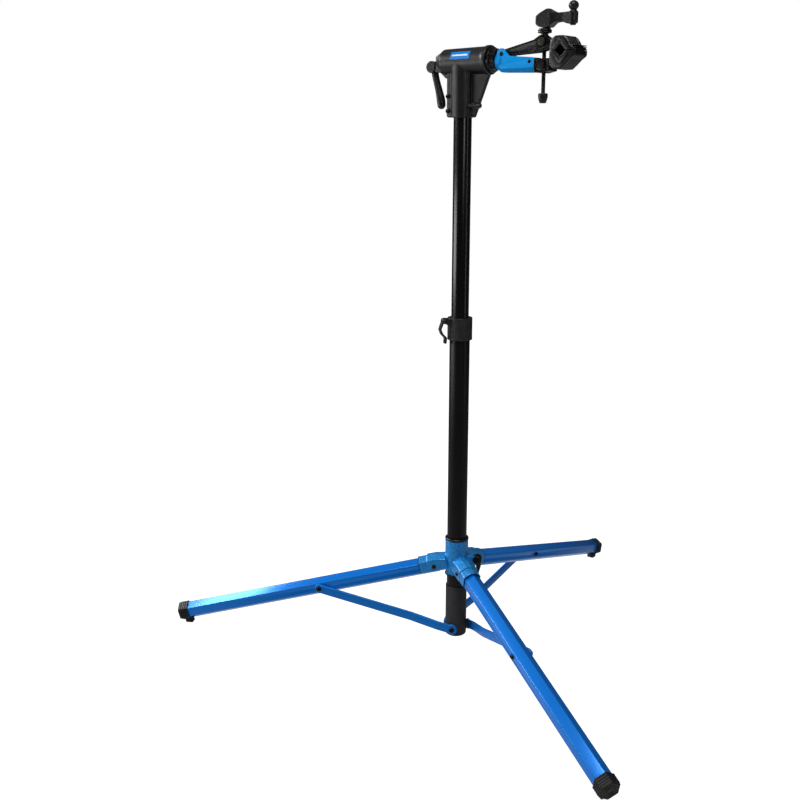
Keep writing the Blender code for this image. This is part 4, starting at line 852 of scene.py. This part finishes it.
def cover(upper):
    """Ribbed soft cover over a jaw's tongue, with a raised edge round the clamping notch."""
    up = 1.0 if upper else -1.0
    split = NOTCH_Z + up * 0.0004
    full, round_off, bevel, low, end = [cover_outline(upper, split, up, shrink)
                                        for shrink in (0.0, 0.0007, 0.0016, 0.0032, 0.0040)]
    side = [(end, 0.0240), (bevel, 0.0234), (full, 0.0220), (full, 0.0172), (round_off, 0.0163),
            (low, 0.0152)]
    layers = [(outline, -y) for outline, y in side]
    for rib in (-0.0096, 0.0, 0.0096):
        layers += [(low, rib - 0.0040), (round_off, rib - 0.0030), (full, rib - 0.0020),
                   (full, rib + 0.0020), (round_off, rib + 0.0030), (low, rib + 0.0040)]
    layers += side[::-1]
    name = "upper_jaw_cover" if upper else "lower_jaw_cover"
    piece = loft(f"{name}_v", layers, "XZ")
    wide, tall = NOTCH + 0.0092, NOTCH + 0.0118
    border = [(NOTCH_X - wide, split), (NOTCH_X - NOTCH, split), (NOTCH_X, split + up * NOTCH),
              (NOTCH_X + NOTCH, split), (NOTCH_X + wide, split), (NOTCH_X + 0.0030, split + up * tall),
              (NOTCH_X - 0.0030, split + up * tall)]
    for low_y, high_y in ((-0.0256, -0.0215), (0.0215, 0.0256)):
        join(piece, soften(slab("frame", border, low_y, high_y), 0.0009, 3))
    for k in range(3):
        z = split + up * (0.0012 + 0.0030 * k)
        ends = sorted((z, z + up * 0.0016))
        fin = block("fin", (0.2600, -0.0205, ends[0]), (0.2742, 0.0205, ends[1]))
        join(piece, soften(fin, 0.0005, 2))
    if upper:
        cut(piece, block("pocket", (0.2100, -0.0108, 0.0197), (0.2543, 0.0108, 0.0273)))
        at(piece, move(-JAW_PIVOT[0], 0, -JAW_PIVOT[1]))
        show(piece, "upper_jaw", RUBBER, HEAD @ move(JAW_PIVOT[0], 0, JAW_PIVOT[1]), name, angle=30.0)
    else:
        cut(piece, block("pocket", (0.2100, -0.0148, -0.0163), (0.2483, 0.0148, -0.0077)))
        show(piece, "clamp", RUBBER, HEAD, name, angle=30.0)


def screw_parts():
    """Screw with its thread as fine rings, end stop, washer, and the two cross pieces it goes through."""
    where = HEAD @ move(TRUNNION[0], 0, 0)
    profile = [(0.0, CAM_Z + 0.0048), (0.0040, CAM_Z + 0.0048), (0.0040, 0.0360)]
    z = 0.0360
    while z > -0.0660:
        profile += [(0.0040, z), (0.0036, z - 0.0004), (0.0040, z - 0.0008)]
        z -= 0.00125
    profile += [(0.0040, -0.0862), (0.0, -0.0862)]
    shaft = lathe("clamp_screw_v", profile, 40, "Z", False)
    show(shaft, "screw", BLACK_STEEL, where, "clamp_screw", angle=60.0)
    stop = turned("screw_end_stop_v", [
        (0.0043, -0.0677), (0.0085, -0.0677), (0.0095, -0.0690), (0.0095, -0.0750), (0.0084, -0.0800),
        (0.0062, -0.0864), (0.0043, -0.0864)], 0.0014, 64)
    show(stop, "screw", PLASTIC, where, "screw_end_stop")
    washer = turned("thrust_washer_v", [
        (0.0043, 0.0533), (0.0112, 0.0533), (0.0112, 0.0512), (0.0131, 0.0509), (0.0135, 0.0504),
        (0.0135, 0.0484), (0.0126, 0.0480), (0.0126, 0.0476), (0.0135, 0.0472), (0.0135, 0.0452),
        (0.0125, 0.0446), (0.0080, 0.0446), (0.0080, 0.0431), (0.0043, 0.0431)], 0.0005)
    show(washer, "washer", PLASTIC, where, "thrust_washer")
    trunnion = rod("trunnion_v", 0.0078, -0.0135, 0.0135, "Y", 64, 0.0009)
    join(trunnion, rod("seat", 0.0070, 0.0, 0.0138, steps=48))
    cut(trunnion, rod("hole", 0.0049, -0.03, 0.03, steps=48))
    show(trunnion, "trunnion", BRONZED, HEAD @ move(TRUNNION[0], 0, TRUNNION[1]), "trunnion")
    nut = rod("barrel_nut_v", 0.0078, -0.0138, 0.0138, "Y", 64, 0.0009)
    cut(nut, rod("hole", 0.0043, -0.03, 0.03, steps=48))
    show(nut, "barrel_nut", BLACK_STEEL, HEAD @ move(NUT[0], 0, NUT[1]), "barrel_nut")


def crank():
    reach, end, half = 0.0206, KNOB_X - TRUNNION[0], 0.0092
    outline = [(-0.0154, 0.0010), (-0.0154, -0.0130)] + arc((0.0, 0.0), reach, 225, 262, 8)
    outline += [(0.0125, -reach), (0.0150, -0.0185), (0.0230, -0.0128), (0.0330, -0.0115), (0.0430, -0.0130),
                (0.0530, -0.0165), (0.0620, -0.0166), (0.0685, -0.0156), (0.0712, -0.0100), (0.0712, 0.0060),
                (0.0480, 0.0050), (0.0330, 0.0048), (0.0220, 0.0070), (0.0100, 0.0140), (0.0040, 0.0140)]
    body = slab("crank_handle_v", rounded(outline, 0.0040, 4), -0.0130, 0.0130)
    plan = [(0.0420, -0.0076), (end, -half)] + arc((end, 0.0), half, -80, 80, 16)
    plan += [(end, half), (0.0420, 0.0076), (0.0260, 0.0092), (0.0170, 0.0115), (-0.0200, 0.0115),
             (-0.0200, -0.0115), (0.0170, -0.0115), (0.0260, -0.0092)]
    common(body, slab("plan", plan, -0.04, 0.04, "XY"))
    gable = [(-0.0130, -0.0300), (0.0130, -0.0300), (0.0130, 0.0040), (0.0045, 0.0142), (-0.0045, 0.0142),
             (-0.0130, 0.0040)]
    common(body, slab("gable", gable, -0.03, 0.08, "YZ"))
    cast(body, 0.0008, 5)
    cut(body, block("slot", (-0.0300, -0.0043, -0.0300), (0.0090, 0.0043, 0.0200)))
    cut(body, rod("hole", 0.0023, -0.03, 0.03, "Y", 32))
    cut(body, at(rod("hole", BOLT_HOLE, -0.03, 0.02, steps=32), move(end, 0, 0)))
    where = HEAD @ move(TRUNNION[0], 0, CAM_Z)
    show(body, "crank", CRANK_BLACK, where, "crank_handle", angle=50.0)
    ball = [(x, 0.0163 + 0.92 * (z - 0.0178)) for x, z in arc((0.0, 0.0178), 0.0097, 68, -54, 24)]
    knob = turned("crank_knob_v", [(0.0, 0.0252), (0.0036, 0.0251)] + ball + [
        (0.0058, 0.0084), (0.0072, 0.0068), (0.0072, 0.0063), (0.0033, 0.0063), (0.0033, 0.0184),
        (0.0, 0.0184)], 0.0006, 64, closed=False)
    show(knob, "knob", CRANK_BLACK, HEAD @ move(KNOB_X, 0, CAM_Z), "crank_knob")


def carried_over():
    """Inner and small pieces whose CAD shape shows as it is."""
    for node in ("tube_bushing", "collar_shoe", "inner_glide", "spindle_bushing"):
        set_material(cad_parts[node], NYLON)
    for node in ("collar_lever_pin", "hub_lever_pin", "head_lever_pin", "cam_pin", "spindle", "knob_pin"):
        set_material(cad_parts[node], BLACK_STEEL if node != "spindle" else STEEL)
    set_material(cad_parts["hub_bushing_bottom"], PLASTIC)


# ---- floor, light and camera ----------------------------------------------------------------
def lamp(name, azimuth, elevation, distance, wide, tall, power, colour=(1.0, 1.0, 1.0), aim=(0.0, -0.2, 0.6)):
    """Soft box at an azimuth (0 along +X, 90 along +Y) and elevation from the object."""
    a, e = math.radians(azimuth), math.radians(elevation)
    way = Vector((math.cos(a) * math.cos(e), math.sin(a) * math.cos(e), math.sin(e)))
    spot = Vector(aim) + distance * way
    light = bpy.data.objects.new(name, bpy.data.lights.new(name, "AREA"))
    light.data.shape = "RECTANGLE"
    light.data.size = wide
    light.data.size_y = tall
    light.data.energy = power
    light.data.color = colour
    light.location = spot
    light.rotation_euler = (Vector(aim) - spot).to_track_quat("-Z", "Y").to_euler()
    bpy.context.scene.collection.objects.link(light)


def floor_plane():
    size = 30.0
    floor = slab("floor", [(-size, -size), (size, -size), (size, size), (-size, size)], -0.02, -0.0002, "XY")
    material = bpy.data.materials.new("floor")
    material.use_nodes = True
    shader = material.node_tree.nodes["Principled BSDF"]
    shader.inputs["Base Color"].default_value = (0.25, 0.25, 0.25, 1.0)
    shader.inputs["Roughness"].default_value = 1.0
    shader.inputs["Specular IOR Level"].default_value = 0.0
    shader.inputs["Emission Color"].default_value = (1.0, 1.0, 1.0, 1.0)
    shader.inputs["Emission Strength"].default_value = 0.97
    floor.data.materials.append(material)
    floor.visible_glossy = False
    floor.visible_diffuse = False


def surroundings():
    """White backdrop, and a grey room that only lights and reflects."""
    world = bpy.data.worlds.new("studio")
    bpy.context.scene.world = world
    world.use_nodes = True
    nodes, links = world.node_tree.nodes, world.node_tree.links
    place = nodes.new("ShaderNodeTexCoord")
    split = nodes.new("ShaderNodeSeparateXYZ")
    links.new(place.outputs["Generated"], split.inputs["Vector"])
    height = nodes.new("ShaderNodeMapRange")
    height.inputs["From Min"].default_value = -1.0
    links.new(split.outputs["Z"], height.inputs["Value"])
    ramp = nodes.new("ShaderNodeValToRGB")
    links.new(height.outputs["Result"], ramp.inputs["Fac"])
    stops = ((0.0, 0.70), (0.27, 0.55), (0.36, 0.10), (0.46, 0.035), (0.60, 0.045), (0.75, 0.16), (1.0, 0.28))
    elements = ramp.color_ramp.elements
    while len(elements) < len(stops):
        elements.new(0.5)
    for element, (where, grey) in zip(elements, stops):
        element.position = where
        element.color = (grey, grey, grey, 1.0)
    room = nodes["Background"]
    links.new(ramp.outputs["Color"], room.inputs["Color"])
    backdrop = nodes.new("ShaderNodeBackground")
    backdrop.inputs["Color"].default_value = (1.0, 1.0, 1.0, 1.0)
    seen = nodes.new("ShaderNodeLightPath")
    mix = nodes.new("ShaderNodeMixShader")
    links.new(seen.outputs["Is Camera Ray"], mix.inputs["Fac"])
    links.new(room.outputs["Background"], mix.inputs[1])
    links.new(backdrop.outputs["Background"], mix.inputs[2])
    links.new(mix.outputs["Shader"], nodes["World Output"].inputs["Surface"])


def studio():
    lamp("key", -161.0, 29.3, 3.58, 2.4, 0.96, 100.0)
    lamp("left", -139.0, 0.0, 2.6, 2.0, 0.60, 27.0, aim=(0.0, POST_Y, 0.74))
    lamp("front", -66.0, 62.0, 3.4, 1.5, 1.2, 66.0)
    lamp("right", -31.0, 8.0, 3.2, 0.5, 0.8, 7.0, aim=(0.0, -0.2, 1.25))
    lamp("edge", 16.0, 0.0, 3.0, 0.18, 2.0, 4.5, (1.0, 0.90, 0.82), aim=(0.0, -0.2, 0.95))
    camera = bpy.data.objects.new("camera", bpy.data.cameras.new("camera"))
    camera.data.lens = 47.55
    camera.data.sensor_width = 36.0
    camera.location = (1.329, POST_Y - 1.856, 1.1548)
    camera.rotation_euler = (math.radians(75.90), 0.0, math.radians(38.89))
    bpy.context.scene.collection.objects.link(camera)
    bpy.context.scene.camera = camera
    bpy.context.scene.view_settings.view_transform = "Standard"


post()
hub()
for name in NAMES:
    leg(name)
    foot(name)
    strut(name)
mast()
head_lever()
thumb_screw()
rotor()
jaw_arm()
lower_jaw()
upper_jaw()
cover(True)
cover(False)
screw_parts()
crank()
bolts()
carried_over()
floor_plane()
surroundings()
studio()
